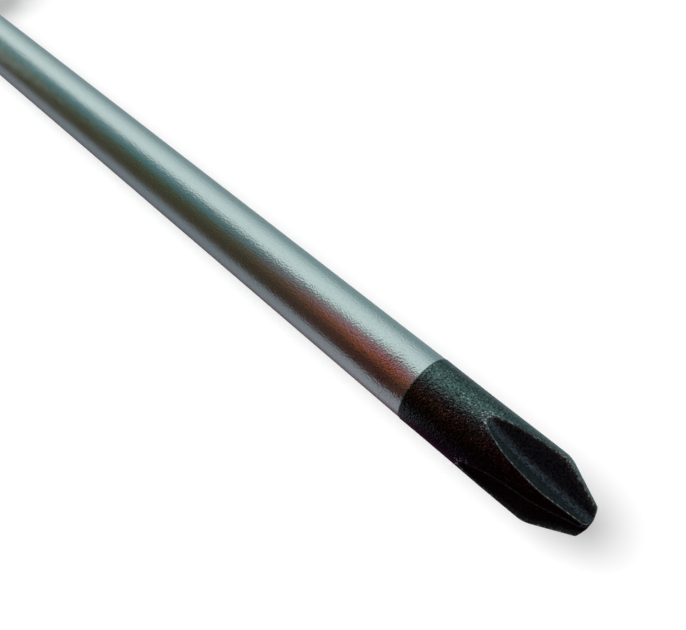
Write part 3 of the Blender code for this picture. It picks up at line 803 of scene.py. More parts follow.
# %% Skin the shell
FACE_INSET = 0.5 * MM
FLANGE_EDGES = (FLANGE_FRONT + 0.7 * MM, FLANGE_REAR - 1.3 * MM)
FLANGE_WEAR = 0.45 * MM
CORNER_WEAR_ANGLE = math.radians(9.0)
TAIL_EDGE = SHELL_REAR - 1.5 * MM
TAIL_WEAR = 1.5 * MM

rim_rows = [(SHELL_FRONT + RIM_EDGE * (1 - np.cos(a)), RIM_EDGE * (1 - np.sin(a))) for a in QUARTER]
lip_rows = [(SEAM + GROOVE_LIP * (1 - np.sin(a)), GROOVE_LIP * (1 - np.cos(a))) for a in QUARTER]
shell_rings = [shell_ring(*row) for row in rim_rows]
shell_rings += [shell_ring(station) for station in front_rows]
shell_rings += [shell_ring(SLEEVE_FRONT - back, drop) for back, drop in lip_rows]
shell_rings += [bore_ring(SLEEVE_FRONT - SEAM, SLEEVE_FLOOR), bore_ring(SLEEVE_REAR + SEAM, SLEEVE_FLOOR)]
shell_rings += [shell_ring(SLEEVE_REAR + back, drop) for back, drop in lip_rows[::-1]]
shell_rings += [shell_ring(station) for station in belly_rows]
shell_bore = rounded_profile(
    (SHELL_REAR, REAR_APOTHEM - FACE_INSET, 0.0),
    (SHELL_REAR, CAP_RADIUS + SEAM, 0.25 * MM),
    (CAP_SEAT - SEAM, CAP_RADIUS + SEAM, 0.1 * MM),
    (CAP_SEAT - SEAM, PLUG_RADIUS + SEAM, 0.1 * MM),
    (PLUG_FRONT - SEAM, PLUG_RADIUS + SEAM, 0.1 * MM),
    (PLUG_FRONT - SEAM, BORE_RADIUS, 0.1 * MM),
    (CORE_BELLY, BORE_RADIUS, 0.5 * MM),
    (SLEEVE_REAR, COLLAR_RADIUS + SEAM, 2.0 * MM),
    (SHELL_FRONT, COLLAR_RADIUS + SEAM, 0.2 * MM),
    (SHELL_FRONT, RIM_RADIUS - FACE_INSET, 0.0),
)
shell_rings = np.array(shell_rings + [bore_ring(station, radius) for station, radius in shell_bore])
shell_mesh = skin("handle_shell", shell_rings, joined=True)

shell_station = HANDLE_X - shell_rings[..., 0]
shell_angle = np.arctan2(shell_rings[..., 2] - AXIS_Z, shell_rings[..., 1])
shell_across = (shell_angle + SECTOR) % SECTOR - SECTOR / 2
on_corner = near(from_corner(shell_angle), 0.0, CORNER_WEAR_ANGLE)
flange_wear = sum(near(shell_station, edge, FLANGE_WEAR) for edge in FLANGE_EDGES)
mark(shell_mesh, "edge", on_corner * (flange_wear + near(shell_station, TAIL_EDGE, TAIL_WEAR)))
shell_seams = near(pad_distance(shell_station, shell_across), 0.0, SEAM_DUST)
shell_seams += near(shell_station, SLEEVE_FRONT, SEAM_DUST) + near(shell_station, SLEEVE_REAR, SEAM_DUST)
mark(shell_mesh, "hollow", shell_seams)
add_piece("hexagonal_shell", shell_mesh, "handle_shell")

# %% [markdown]
# ## Finger sleeve
#
# A soft ring is moulded round the waist, where the fingertips spin the tool. Twelve scallops stop it
# from slipping and fade out towards the ends. They are a cosine round the ring, so that no edge is sharp.

# %% Skin the sleeve
SCALLOP_COUNT = 12
SCALLOP_DEPTH = 0.8 * MM
SCALLOP_FADE = 4.0 * MM
SLEEVE_PROUD = 0.2 * MM
SLEEVE_EDGE = 0.4 * MM
SLEEVE_BORE = 9.3 * MM
SLEEVE_ROWS = 48
COLUMNS_PER_SCALLOP = 18
CREST_WEAR = 0.5
CREST_SHARPNESS = 3

sleeve_angle = np.linspace(0.0, 2 * math.pi, SCALLOP_COUNT * COLUMNS_PER_SCALLOP, endpoint=False)


def scallop(station):
    """Share of the full scallop depth at each column of a ring."""
    from_end = np.minimum(station - SLEEVE_FRONT, SLEEVE_REAR - station)
    return ease(from_end / SCALLOP_FADE) * (1 - np.cos(SCALLOP_COUNT * sleeve_angle)) / 2


def sleeve_ring(station, drop):
    """One ring of the sleeve's outside, lowered by a drop at its rounded ends."""
    radius = grip_apothem(station) + SLEEVE_PROUD - drop - SCALLOP_DEPTH * scallop(station)
    return around(HANDLE_X - station, radius, sleeve_angle)


end_rows = [(SLEEVE_EDGE * (1 - np.cos(a)), SLEEVE_EDGE * (1 - np.sin(a))) for a in QUARTER]
scalloped = stretch(SLEEVE_FRONT + SLEEVE_EDGE, SLEEVE_REAR - SLEEVE_EDGE, SLEEVE_ROWS)[:-1]
sleeve_rows = [(SLEEVE_FRONT + along, drop) for along, drop in end_rows]
sleeve_rows += [(station, 0.0) for station in scalloped]
sleeve_rows += [(SLEEVE_REAR - along, drop) for along, drop in end_rows[::-1]]
sleeve_rings = [sleeve_ring(*row) for row in sleeve_rows]
sleeve_rings += [around(HANDLE_X - end, SLEEVE_BORE, sleeve_angle) for end in (SLEEVE_REAR, SLEEVE_FRONT)]
sleeve_mesh = skin("finger_sleeve", np.array(sleeve_rings), joined=True)
sleeve_hollow = np.array([scallop(station) for station, _ in sleeve_rows])
mark(sleeve_mesh, "hollow", sleeve_hollow)
mark(sleeve_mesh, "edge", CREST_WEAR * (1 - sleeve_hollow) ** CREST_SHARPNESS)
add_piece("scalloped_sleeve", sleeve_mesh, "finger_sleeve")

# %% [markdown]
# ## Grip pads
#
# The six pads are one strip, turned from flat to flat. A pad has a soft round edge and cross grooves
# that run out before its long edges. A Solidify modifier on a sheet could give the thickness, but not
# an edge that is rounded above and square below, so each ring goes over the top and back underneath.

# %% One ring of a pad
PAD_DEPTH = 0.85 * MM
PAD_ROUND = 0.45 * MM
PAD_ROUND_LIMIT = 0.9
PAD_EDGE_SHARES = np.array([0.0, 0.06, 0.16, 0.3, 0.5, 0.75, 1.0])
PAD_COLUMNS = 13
GROOVE_PITCH = 7.0 * MM
GROOVE_WIDTH = 2.2 * MM
GROOVE_DEPTH = 0.6 * MM
GROOVE_STEEPNESS = 1.5
GROOVE_RUN_OUT = 4
GROOVE_END_LAND = 9.0 * MM
GROOVE_FIRST = PAD_FRONT + GROOVE_END_LAND
GROOVE_COUNT = 1 + int((PAD_REAR - GROOVE_END_LAND - GROOVE_FIRST) / GROOVE_PITCH)
grooves = GROOVE_FIRST + GROOVE_PITCH * np.arange(GROOVE_COUNT)


def pad_groove(station, share):
    """Share of the full groove depth, at a share of the pad's half width."""
    from_groove = np.abs(station - grooves).min()
    depth = ease(GROOVE_STEEPNESS * (1 - from_groove / (GROOVE_WIDTH / 2)))
    return depth * (1 - share**GROOVE_RUN_OUT)


def pad_ring(station):
    """Top and bottom of one ring as (radius, angle from the flat's middle), and the groove's share."""
    width = pad_half_width(station, -PAD_GAP)
    rounded = min(PAD_ROUND, PAD_ROUND_LIMIT * width)
    edge = width - rounded * PAD_EDGE_SHARES
    inner = np.linspace(edge[-1], 0.0, PAD_COLUMNS)[1:]
    half = np.concatenate([edge, inner])
    aside = np.concatenate([-half, half[-2::-1]])
    across = aside / pad_apothem(station)
    inside = np.clip(-PAD_GAP - pad_distance(station, across), 0.0, PAD_ROUND)
    edge_drop = PAD_ROUND - np.sqrt(PAD_ROUND**2 - (PAD_ROUND - inside) ** 2)
    groove = pad_groove(station, aside / width)
    surface = handle_radius(station, math.pi / 2 + across)
    top = surface - edge_drop - GROOVE_DEPTH * groove
    radius = np.concatenate([top, surface[::-1] - PAD_DEPTH])
    turn = np.concatenate([across, across[::-1]])
    return radius, turn, np.concatenate([groove, np.zeros_like(groove)])


print(f"{GROOVE_COUNT} grooves on a pad, {GROOVE_PITCH / MM:.1f} mm apart")

# %% [markdown]
# The rows lie close together where a pad's edge rounds over and across its grooves. The dust stays in
# the grooves, and the crests between them are rubbed.

# %% Skin the pads
PAD_ROWS = 60
GROOVE_ROWS = 13
GROOVE_CLEARANCE = 0.2 * MM

pad_front, pad_rear = PAD_FRONT + PAD_GAP, PAD_REAR - PAD_GAP
pad_end = np.concatenate([[0.0], stretch(0.0, PAD_ROUND, 7), stretch(PAD_ROUND, PAD_CORNER, 12)])
land = np.linspace(pad_front + PAD_CORNER, pad_rear - PAD_CORNER, PAD_ROWS)
land = land[np.abs(land[:, None] - grooves).min(axis=1) > GROOVE_WIDTH / 2 + GROOVE_CLEARANCE]
groove_rows = (grooves[:, None] + np.linspace(-0.5, 0.5, GROOVE_ROWS) * GROOVE_WIDTH).reshape(-1)
pad_stations = np.unique(np.concatenate([pad_front + pad_end, land, groove_rows, pad_rear - pad_end]))
pad_rings = [pad_ring(station) for station in pad_stations]
pad_radius, pad_across, pad_hollow = map(np.array, zip(*pad_rings))
pad_meshes = []
for k in range(HANDLE_SIDES):
    pad_angle = math.pi / 2 + SECTOR * k + pad_across
    pad_mesh = skin(f"grip_pad_{k + 1}", around(HANDLE_X - pad_stations[:, None], pad_radius, pad_angle))
    mark(pad_mesh, "hollow", pad_hollow)
    mark(pad_mesh, "edge", CREST_WEAR * (1 - pad_hollow))
    pad_meshes.append(pad_mesh)
    add_piece(f"grooved_pad_{k + 1}", pad_mesh, f"grip_pad_{k + 1}")

# %% [markdown]
# ## End cap
#
# A cap snaps into the rear of the shell with a hollow plug and a bead. Its butt face is flat for the
# palm, with a shallow ring and the small dimple that the mould's gate leaves. All of it is round, so
# one turned profile makes the whole cap.

# %% Skin the cap
PLUG_WALL = 1.6 * MM
BEAD_STATION = PLUG_FRONT + 2.4 * MM
BEAD_HEIGHT = 0.03 * MM
CAP_EDGE = 1.0 * MM
RING_RADIUS = 6.1 * MM
RING_HALF_WIDTH = 0.45 * MM
RING_DEPTH = 0.25 * MM
GATE_RADIUS = 0.8 * MM
GATE_FLOOR_RADIUS = GATE_RADIUS * 0.7
GATE_MIDDLE_RADIUS = GATE_RADIUS * 0.3
GATE_DEPTH = 0.12 * MM

cap_profile = rounded_profile(
    (CAP_SEAT, PLUG_RADIUS - PLUG_WALL, 0.0),
    (PLUG_FRONT, PLUG_RADIUS - PLUG_WALL, 0.2 * MM),
    (PLUG_FRONT, PLUG_RADIUS, 0.3 * MM),
    (BEAD_STATION, PLUG_RADIUS + BEAD_HEIGHT, 0.5 * MM),
    (CAP_SEAT, PLUG_RADIUS, 0.1 * MM),
    (CAP_SEAT, CAP_RADIUS, 0.1 * MM),
    (HANDLE_REAR, CAP_RADIUS, CAP_EDGE),
    (HANDLE_REAR, RING_RADIUS + RING_HALF_WIDTH, 0.12 * MM),
    (HANDLE_REAR - RING_DEPTH, RING_RADIUS + RING_HALF_WIDTH / 2, 0.12 * MM),
    (HANDLE_REAR - RING_DEPTH, RING_RADIUS - RING_HALF_WIDTH / 2, 0.12 * MM),
    (HANDLE_REAR, RING_RADIUS - RING_HALF_WIDTH, 0.12 * MM),
    (HANDLE_REAR, GATE_RADIUS, 0.1 * MM),
    (HANDLE_REAR - GATE_DEPTH, GATE_FLOOR_RADIUS, 0.1 * MM),
    (HANDLE_REAR - GATE_DEPTH, GATE_MIDDLE_RADIUS, 0.0),
)
cap_mesh = skin("end_cap", turned(cap_profile, even_turn))
cap_station, cap_radius = np.broadcast_arrays(cap_profile.T[..., None], even_turn)[0]
mark(cap_mesh, "edge", near(cap_station + cap_radius, HANDLE_REAR + CAP_RADIUS, CAP_EDGE))
mark(cap_mesh, "hollow", near(cap_radius, RING_RADIUS, RING_HALF_WIDTH) * (cap_station > CAP_SEAT))
add_piece("butt_cap", cap_mesh, "end_cap")

# %% [markdown]
# ## Light and stage
#
# The tool lies on a white sheet under a soft key light, in an even white surround. The surround gives
# matt surfaces three tenths of their light and the key gives the rest, so a colour looks about as it is
# written. Seen directly or in the metal, the surround is plain white. Lamps alone would leave the metal
# black between their reflections, so the surround stays on all sides. First come a few helpers that
# keep the node trees readable.

# %% Helpers for nodes


def place(tree, kind, feeds=None, **settings):
    """Add a node, set its properties, and fill its inputs with values or other nodes' outputs."""
    made = tree.nodes.new(kind)
    for name, value in settings.items():
        setattr(made, name, value)
    for socket, value in (feeds or {}).items():
        if isinstance(value, bpy.types.NodeSocket):
            tree.links.new(value, made.inputs[socket])
        else:
            made.inputs[socket].default_value = value
    return made


def maths(tree, operation, a, b=0.0, c=0.0):
    """Reckon with up to three values."""
    return place(tree, "ShaderNodeMath", {0: a, 1: b, 2: c}, operation=operation).outputs[0]


def remap(tree, value, low, high, to_low=0.0, to_high=1.0):
    """Carry a value from one range over to another, and hold it inside."""
    return place(tree, "ShaderNodeMapRange", {0: value, 1: low, 2: high, 3: to_low, 4: to_high}).outputs[0]


def seen_directly(tree):
    """1 for what the camera sees, itself or in metal or glass, and 0 for light that falls on things."""
    path = place(tree, "ShaderNodeLightPath").outputs
    mirrored = maths(tree, "MAXIMUM", path["Is Glossy Ray"], path["Is Transmission Ray"])
    return maths(tree, "MAXIMUM", path["Is Camera Ray"], mirrored)


def empty_material(name):
    """A material with nothing in its tree, and that tree."""
    material = bpy.data.materials.new(name)
    material.use_nodes = True
    material.node_tree.nodes.clear()
    return material, material.node_tree


print("helpers for nodes are ready")

# %% [markdown]
# The sheet under the tool is matt and pale, and keeps the tool's shadow. A little glow of its own, which
# only the camera and the metal see, lifts it to white without more light on the tool.

# %% Surround and floor
SURROUND_LEVEL = 0.30
FLOOR_COLOUR = 0.74
FLOOR_LIFT = 0.30
FLOOR_ENDS = (-1.5, 1.5)

scene = bpy.context.scene
scene.view_settings.view_transform = "Standard"

world = bpy.data.worlds.new("white_surround")
world.use_nodes = True
scene.world = world
sky = world.node_tree
background = sky.nodes["Background"]
background.inputs["Color"].default_value = (1.0, 1.0, 1.0, 1.0)
level = maths(sky, "MULTIPLY_ADD", seen_directly(sky), 1.0 - SURROUND_LEVEL, SURROUND_LEVEL)
sky.links.new(level, background.inputs["Strength"])


def stage_sheet(name, outline, material, ends):
    """A sheet of the stage along X, through (y, z) edges, from one end to the other."""
    points = [(x, y, z) for y, z in outline for x in ends]
    faces = [(2 * k, 2 * k + 1, 2 * k + 3, 2 * k + 2) for k in range(len(outline) - 1)]
    mesh = bpy.data.meshes.new(name)
    mesh.from_pydata(points, [], faces)
    mesh.materials.append(material)
    sheet = bpy.data.objects.new(name, mesh)
    scene.collection.objects.link(sheet)
    return sheet


floor_material, tree = empty_material("white_sheet")
matt = place(tree, "ShaderNodeBsdfDiffuse", {"Color": (FLOOR_COLOUR,) * 3 + (1.0,)})
lift = maths(tree, "MULTIPLY", seen_directly(tree), FLOOR_LIFT)
glow = place(tree, "ShaderNodeEmission", {"Strength": lift})
both = place(tree, "ShaderNodeAddShader", {0: matt.outputs[0], 1: glow.outputs[0]})
place(tree, "ShaderNodeOutputMaterial", {"Surface": both.outputs[0]})
stage_sheet("floor", [(y, cad_low.z) for y in FLOOR_ENDS], floor_material, FLOOR_ENDS)
print("floor and surround are in place")

# %% [markdown]
# The key light is a large soft box far away, in about the camera's own direction, so that the shank
# hides the core of its shadow and only a soft rim of it shows on both sides. The shadow of the point
# comes out below and to the right of it. A sun lamp with a wide disc does the work of the soft box and
# lights the whole floor evenly.

# %% Key light
KEY_FROM = (-0.1043, -0.4833, 0.8693)
KEY_WIDTH = math.radians(18.5)
KEY_LEVEL = 0.70

key = bpy.data.objects.new("key_light", bpy.data.lights.new("key_light", "SUN"))
key.data.angle = KEY_WIDTH
key.data.energy = KEY_LEVEL * math.pi / KEY_FROM[2]
key.rotation_euler = (math.acos(KEY_FROM[2]), 0.0, math.atan2(KEY_FROM[0], -KEY_FROM[1]))
key.visible_glossy = False
scene.collection.objects.link(key)
print(f"key light of {key.data.energy:.2f} W per square metre")

# %% [markdown]
# ## Cards round the blade
#
# Plated steel shows what stands round it. Photographers put sheets of card beside a shiny bar to give it
# dark and grey bands. Painted bands would stay in place when the tool is turned, so these are real cards.
# They are seen in the metal alone and neither light the tool nor shade it. A ray from the far end of the
# shank meets a card further back, so a colour that changes along a card changes along the shank. The two
# sheets under the shank are painted shade: their colours stand for the floor in the tool's shadow.

# %% One card


def card(name, outline, colours, lean, ends):
    """A card with colours given as (distance behind the nose, colour), on lines that may lean."""
    material, tree = empty_material(name)
    where = place(tree, "ShaderNodeTexCoord").outputs["Object"]
    x, y, _ = place(tree, "ShaderNodeSeparateXYZ", {0: where}).outputs
    nearest, farthest = colours[0][0], colours[-1][0]
    upright = maths(tree, "MULTIPLY_ADD", y, -lean, x)
    share = remap(tree, upright, NOSE_X - nearest, NOSE_X - farthest)
    ramp = place(tree, "ShaderNodeValToRGB", {0: share})
    stops = ramp.color_ramp.elements
    while len(stops) < len(colours):
        stops.new(0.5)
    for stop, (behind, colour) in zip(stops, colours):
        stop.position = (behind - nearest) / (farthest - nearest)
        stop.color = (*colour, 1.0)
    glow = place(tree, "ShaderNodeEmission", {"Color": ramp.outputs[0]})
    place(tree, "ShaderNodeOutputMaterial", {"Surface": glow.outputs[0]})
    sheet = stage_sheet(name, outline, material, ends)
    sheet.visible_camera = False
    sheet.visible_diffuse = False
    sheet.visible_transmission = False
    sheet.visible_shadow = False


print("cards show in the metal alone")

# %% [markdown]
# The cards form a chain round the blade, and each starts where the last one ends. Flags hang close over
# the point and warm cards in front of the shank. Under it lie two sheets of painted shade, which stand for
# the white floor in the tool's shadow as the metal shows it and are darkest under the point. Slate cards
# stand far behind it. The shank shows the near shade sheet at a slant, so that sheet's colours change
# along a line that leans.

# %% Cards that show in the metal
BESIDE_SHANK = (NOSE_X - 200 * MM, NOSE_X + 250 * MM)
OVER_POINT = (NOSE_X - 29.5 * MM, NOSE_X + 250 * MM)
CARD_LIFT = cad_low.z + 0.5 * MM
CARD_LEAN = {"floor_shade_sheet": 0.29}
FIRST_CORNER = (0.0142, 0.0617)

# Each card: name, further corners as (y, z), ends, and colours as (distance behind the nose, colour).
chain = [
    (
        "blush_flag",
        [(0.0033, 0.0617)],
        OVER_POINT,
        [(0.0, (0.50, 0.27, 0.34)), (0.033, (0.55, 0.30, 0.38))],
    ),
    (
        "flag_over_point",
        [(-0.0030, 0.0617)],
        OVER_POINT,
        [(0.0, (0.12, 0.02, 0.03)), (0.033, (0.20, 0.05, 0.08))],
    ),
    (
        "grey_card",
        [(-0.0110, 0.0597)],
        BESIDE_SHANK,
        [(0.0325, (0.12, 0.025, 0.04)), (0.0351, (0.33, 0.31, 0.35)), (0.065, (0.16, 0.225, 0.235))],
    ),
    (
        "rose_card",
        [(-0.0267, 0.0538)],
        BESIDE_SHANK,
        [
            (0.0325, (0.07, 0.004, 0.008)),
            (0.0351, (1.0, 0.35, 0.42)),
            (0.046, (0.40, 0.145, 0.155)),
            (0.060, (0.16, 0.21, 0.22)),
            (0.082, (0.13, 0.27, 0.30)),
        ],
    ),
    (
        "rust_card",
        [(-0.05, 0.045)],
        BESIDE_SHANK,
        [
            (0.0325, (0.045, 0.002, 0.003)),
            (0.0351, (0.72, 0.19, 0.075)),
            (0.046, (0.335, 0.047, 0.030)),
            (0.060, (0.145, 0.078, 0.050)),
            (0.082, (0.10, 0.112, 0.066)),
        ],
    ),
    (
        "dark_card",
        [(-0.05, CARD_LIFT), (-0.0395, CARD_LIFT)],
        BESIDE_SHANK,
        [
            (0.0325, (0.022, 0.001, 0.002)),
            (0.0351, (0.115, 0.034, 0.025)),
            (0.060, (0.060, 0.032, 0.024)),
            (0.082, (0.090, 0.068, 0.040)),
        ],
    ),
    # Painted shade: the white floor in the tool's shadow as the metal shows it, darkest under the point.
    (
        "floor_shade_sheet",
        [(-0.006, CARD_LIFT)],
        FLOOR_ENDS,
        [(0.0172, (0.060, 0.013, 0.034)), (0.0191, (0.44, 0.385, 0.43)), (0.05, (0.29, 0.285, 0.32))],
    ),
    # Painted shadow: the floor right under the shank, in the tool's shadow, as the metal shows it.
    (
        "sheet_in_shade",
        [(0.012, CARD_LIFT)],
        FLOOR_ENDS,
        [(0.0190, (0.07, 0.018, 0.036)), (0.0220, (0.17, 0.10, 0.125)), (0.06, (0.14, 0.125, 0.15))],
    ),
    (
        "slate_sheet",
        [(0.40, CARD_LIFT)],
        FLOOR_ENDS,
        [(0.0, (0.325, 0.40, 0.425)), (0.3, (0.325, 0.40, 0.425))],
    ),
    (
        "slate_card",
        [(0.40, 0.11)],
        FLOOR_ENDS,
        [(0.14, (0.26, 0.33, 0.35)), (0.18, (0.325, 0.40, 0.425))],
    ),
    (
        "pale_card",
        [(0.40, 0.27)],
        FLOOR_ENDS,
        [(0.14, (0.40, 0.45, 0.47)), (0.18, (0.60, 0.66, 0.68))],
    ),
    (
        "veil_card",
        [(0.40, 0.50)],
        FLOOR_ENDS,
        [(0.14, (0.80, 0.83, 0.84)), (0.18, (0.86, 0.88, 0.89))],
    ),
]
start = FIRST_CORNER
for name, corners, ends, colours in chain:
    card(name, [start, *corners], colours, CARD_LEAN.get(name, 0.0), ends)
    start = corners[-1]
print(f"{len(chain)} cards hang round the blade")

# %% [markdown]
# ## Finishes that several materials share
#
# Three effects come back on several surfaces. All of them have a fine grain and edges rubbed pale by
# use, and the handle has dust in its hollows. Copies of the nodes in each material would drift apart,
# so each effect is a node group with its own inputs, built once and placed with values for the surface.
# The groups put out plain numbers that change over the surface.

# %% Helpers for node groups


def start_group(name, inputs, outputs):
    """An empty node group with its sockets, and the tree's own input and output."""
    group = bpy.data.node_groups.new(name, "ShaderNodeTree")
    for socket, kind in inputs.items():
        group.interface.new_socket(socket, in_out="INPUT", socket_type=kind)
    for socket in outputs:
        group.interface.new_socket(socket, in_out="OUTPUT", socket_type="NodeSocketFloat")
    return group, place(group, "NodeGroupInput").outputs, place(group, "NodeGroupOutput").inputs


def noise(tree, where, size, detail):
    """Soft blotches of about the given size, from 0 to 1."""
    feeds = {"Vector": where, "Scale": maths(tree, "DIVIDE", 1.0, size), "Detail": detail}
    return place(tree, "ShaderNodeTexNoise", feeds).outputs[0]


def use_group(tree, group, **feeds):
    """Place a group in a material."""
    return place(tree, "ShaderNodeGroup", feeds, node_tree=group).outputs


print("helpers for groups are ready")

# %% [markdown]
# Grain is what blasting, plating or an etched mould leaves on a surface: tiny bumps, and here and there
# a patch that is a shade lighter. Modelled bumps would take millions of faces, so a noise gives their
# height to a Bump node, and a coarser noise gives the patches.

# %% Fine grain
PATCH_SIZES = 25.0
NOISE_LOW = 0.3
NOISE_HIGH = 0.7

fine_grain, given, result = start_group(
    "fine_grain",
    {"Place": "NodeSocketVector", "Size": "NodeSocketFloat", "Depth": "NodeSocketFloat"},
    ("Height", "Speckle", "Patch"),
)
grains = noise(fine_grain, given["Place"], given["Size"], detail=1.0)
height = maths(fine_grain, "MULTIPLY", grains, given["Depth"])
patch_size = maths(fine_grain, "MULTIPLY", given["Size"], PATCH_SIZES)
patches = noise(fine_grain, given["Place"], patch_size, detail=3.0)
fine_grain.links.new(height, result["Height"])
fine_grain.links.new(remap(fine_grain, grains, NOISE_LOW, NOISE_HIGH), result["Speckle"])
fine_grain.links.new(remap(fine_grain, patches, NOISE_LOW, NOISE_HIGH), result["Patch"])
print("fine grain:", [socket.name for socket in fine_grain.interface.items_tree])

# %% [markdown]
# An edge is rubbed where hands and screws touch it, never evenly. Geometry's Pointiness could find edges,
# but it depends on how fine the mesh is. The marks kept on the meshes say where the edges are, and a
# noise breaks them up.

# %% Rubbed edges
BREAK_UP = 1.2
RUBBED_FROM = 1.45
RUBBED_THROUGH = 1.85

rubbed_edges, given, result = start_group(
    "rubbed_edges",
    {"Place": "NodeSocketVector", "Edge": "NodeSocketFloat", "Size": "NodeSocketFloat"},
    ("Mask",),
)
breaks = noise(rubbed_edges, given["Place"], given["Size"], detail=3.0)
worn = maths(rubbed_edges, "MULTIPLY_ADD", breaks, BREAK_UP, given["Edge"])
rubbed_edges.links.new(remap(rubbed_edges, worn, RUBBED_FROM, RUBBED_THROUGH), result["Mask"])
print("rubbed edges:", [socket.name for socket in rubbed_edges.interface.items_tree])

# %% [markdown]
# Dust is a thin pale film in seams, grooves and scallops, where no hand wipes it off. Loose particles
# would be too small to see, so it is a mask: clumps of noise, kept to the hollows that the meshes mark.

# %% Settled dust
CLUMPS_FROM = 0.35
CLUMPS_FULL = 0.75

settled_dust, given, result = start_group(
    "settled_dust",
    {"Place": "NodeSocketVector", "Hollow": "NodeSocketFloat", "Size": "NodeSocketFloat"},
    ("Mask",),
)
clumps = noise(settled_dust, given["Place"], given["Size"], detail=5.0)
clumped = remap(settled_dust, clumps, CLUMPS_FROM, CLUMPS_FULL)
film = maths(settled_dust, "MULTIPLY", clumped, given["Hollow"])
settled_dust.links.new(film, result["Mask"])
print("settled dust:", [socket.name for socket in settled_dust.interface.items_tree])

# %% [markdown]
# ## Blade: plated and blackened steel
#
# The bar is blasted and satin plated, and its point is dipped in a blackening bath up to a line nearly
# 16 mm behind the nose. Two materials with a border along faces would need a cut in the mesh, so one
# material changes along the bar. Four helpers come first, which the handle's finishes use too.

# %% Helpers for colours


def colour_mix(tree, share, a, b):
    """Colour between a and b; plain colours are given as three numbers."""
    feeds = {0: share}
    for socket, colour in ((6, a), (7, b)):
        feeds[socket] = colour if isinstance(colour, bpy.types.NodeSocket) else (*colour, 1.0)
    return place(tree, "ShaderNodeMix", feeds, data_type="RGBA").outputs[2]


def value_mix(tree, share, a, b):
    """Value between a and b."""
    return place(tree, "ShaderNodeMix", {0: share, 2: a, 3: b}).outputs[0]


def kept_mark(tree, name):
    """A value that was kept on the mesh."""
    return place(tree, "ShaderNodeAttribute", attribute_name=name).outputs["Fac"]


def lit_surface(tree, colour, roughness, height, metallic=0.0):
    """The shader of a finish, with its grain as a bump."""
    bump = place(tree, "ShaderNodeBump", {"Height": height, "Distance": 1.0})
    shader = place(
        tree,
        "ShaderNodeBsdfPrincipled",
        {"Base Color": colour, "Roughness": roughness, "Normal": bump.outputs[0], "Metallic": metallic},
    )
    place(tree, "ShaderNodeOutputMaterial", {"Surface": shader.outputs[0]})


print("helpers for finishes are ready")

# %% [markdown]
# Plating leaves an orange peel with small pits, which shows where a reflection ends. The blackened skin
# is coarser. Each has its own grain, and a noise makes the line between the two a little ragged.

# %% Grain and border of the blade
PEEL_SIZE = 0.16 * MM
PEEL_DEPTH = 0.0155 * MM
PIT_SIZE = 0.16 * MM
PIT_DEPTH = 0.0175 * MM
BLAST_SIZE = 0.15 * MM
BLAST_DEPTH = 0.038 * MM
BORDER_RAGGED = 0.12 * MM
BORDER_SOFT = 0.04 * MM

blade_steel, tree = empty_material("blade_steel")
where = place(tree, "ShaderNodeTexCoord").outputs["Object"]
x = place(tree, "ShaderNodeSeparateXYZ", {0: where}).outputs[0]
peel = use_group(tree, fine_grain, Place=where, Size=PEEL_SIZE, Depth=PEEL_DEPTH)
pits = place(tree, "ShaderNodeTexVoronoi", {"Vector": where, "Scale": 1.0 / PIT_SIZE}).outputs["Distance"]
pitted = maths(tree, "MULTIPLY_ADD", pits, PIT_DEPTH, peel["Height"])
blast = use_group(tree, fine_grain, Place=where, Size=BLAST_SIZE, Depth=BLAST_DEPTH)

wander = noise(tree, where, PEEL_SIZE, detail=2.0)
ragged = maths(tree, "MULTIPLY_ADD", wander, BORDER_RAGGED, -BORDER_RAGGED / 2)
from_border = maths(tree, "SUBTRACT", maths(tree, "ADD", x, ragged), NOSE_X - BLACKENED_LENGTH)
black = remap(tree, from_border, -BORDER_SOFT / 2, BORDER_SOFT / 2)
print(f"grain {PEEL_SIZE / MM:.2f} mm on the plating and {BLAST_SIZE / MM:.2f} mm on the black")

# %% [markdown]
# Single grains of the black skin shine through as pale flecks, and far more of them where the coat has
# chipped. A Voronoi texture gives every grain a number by chance, and the highest numbers are flecks.
# The milled flutes have none. Their edges are rubbed down to steel, and all along they are a little
# burnished.

# %% Flecks and worn edges of the blade
SPARK_SIZE = 0.10 * MM
SPARKS_FROM = 0.95
SPARK_PALENESS = 0.75
CHIPPING = 0.45
WEAR_SIZE = 0.22 * MM
EDGE_PALENESS = 0.85
EDGE_DULLNESS = 0.3

cells = place(tree, "ShaderNodeTexVoronoi", {"Vector": where, "Scale": 1.0 / SPARK_SIZE})
chance = place(tree, "ShaderNodeSeparateColor", {0: cells.outputs["Color"]}).outputs[0]
chip = kept_mark(tree, "chip")
chance = maths(tree, "MULTIPLY_ADD", chip, CHIPPING, chance)
spark = maths(tree, "MULTIPLY", remap(tree, chance, SPARKS_FROM, 1.0), SPARK_PALENESS)
milled = kept_mark(tree, "flute")
spark = value_mix(tree, milled, spark, 0.0)
edge = kept_mark(tree, "edge")
rubbed = use_group(tree, rubbed_edges, Place=where, Edge=edge, Size=WEAR_SIZE)["Mask"]
scuffed = maths(tree, "MULTIPLY", rubbed, EDGE_PALENESS)
dulled = maths(tree, "MAXIMUM", scuffed, maths(tree, "MULTIPLY", edge, EDGE_DULLNESS))
dulled = maths(tree, "MAXIMUM", dulled, maths(tree, "MULTIPLY", chip, spark))
print(f"flecks of {SPARK_SIZE / MM:.2f} mm on {1 - SPARKS_FROM:.0%} of the grains, and more in the chips")

# %% [markdown]
# Now the colours are laid over each other as on the real bar: plating or black skin, the milled walls,
# the burnished edges, and bare steel on top. Metal is coloured by its reflections alone, so the scuffed
# places are made less metallic, and they show pale from every side.

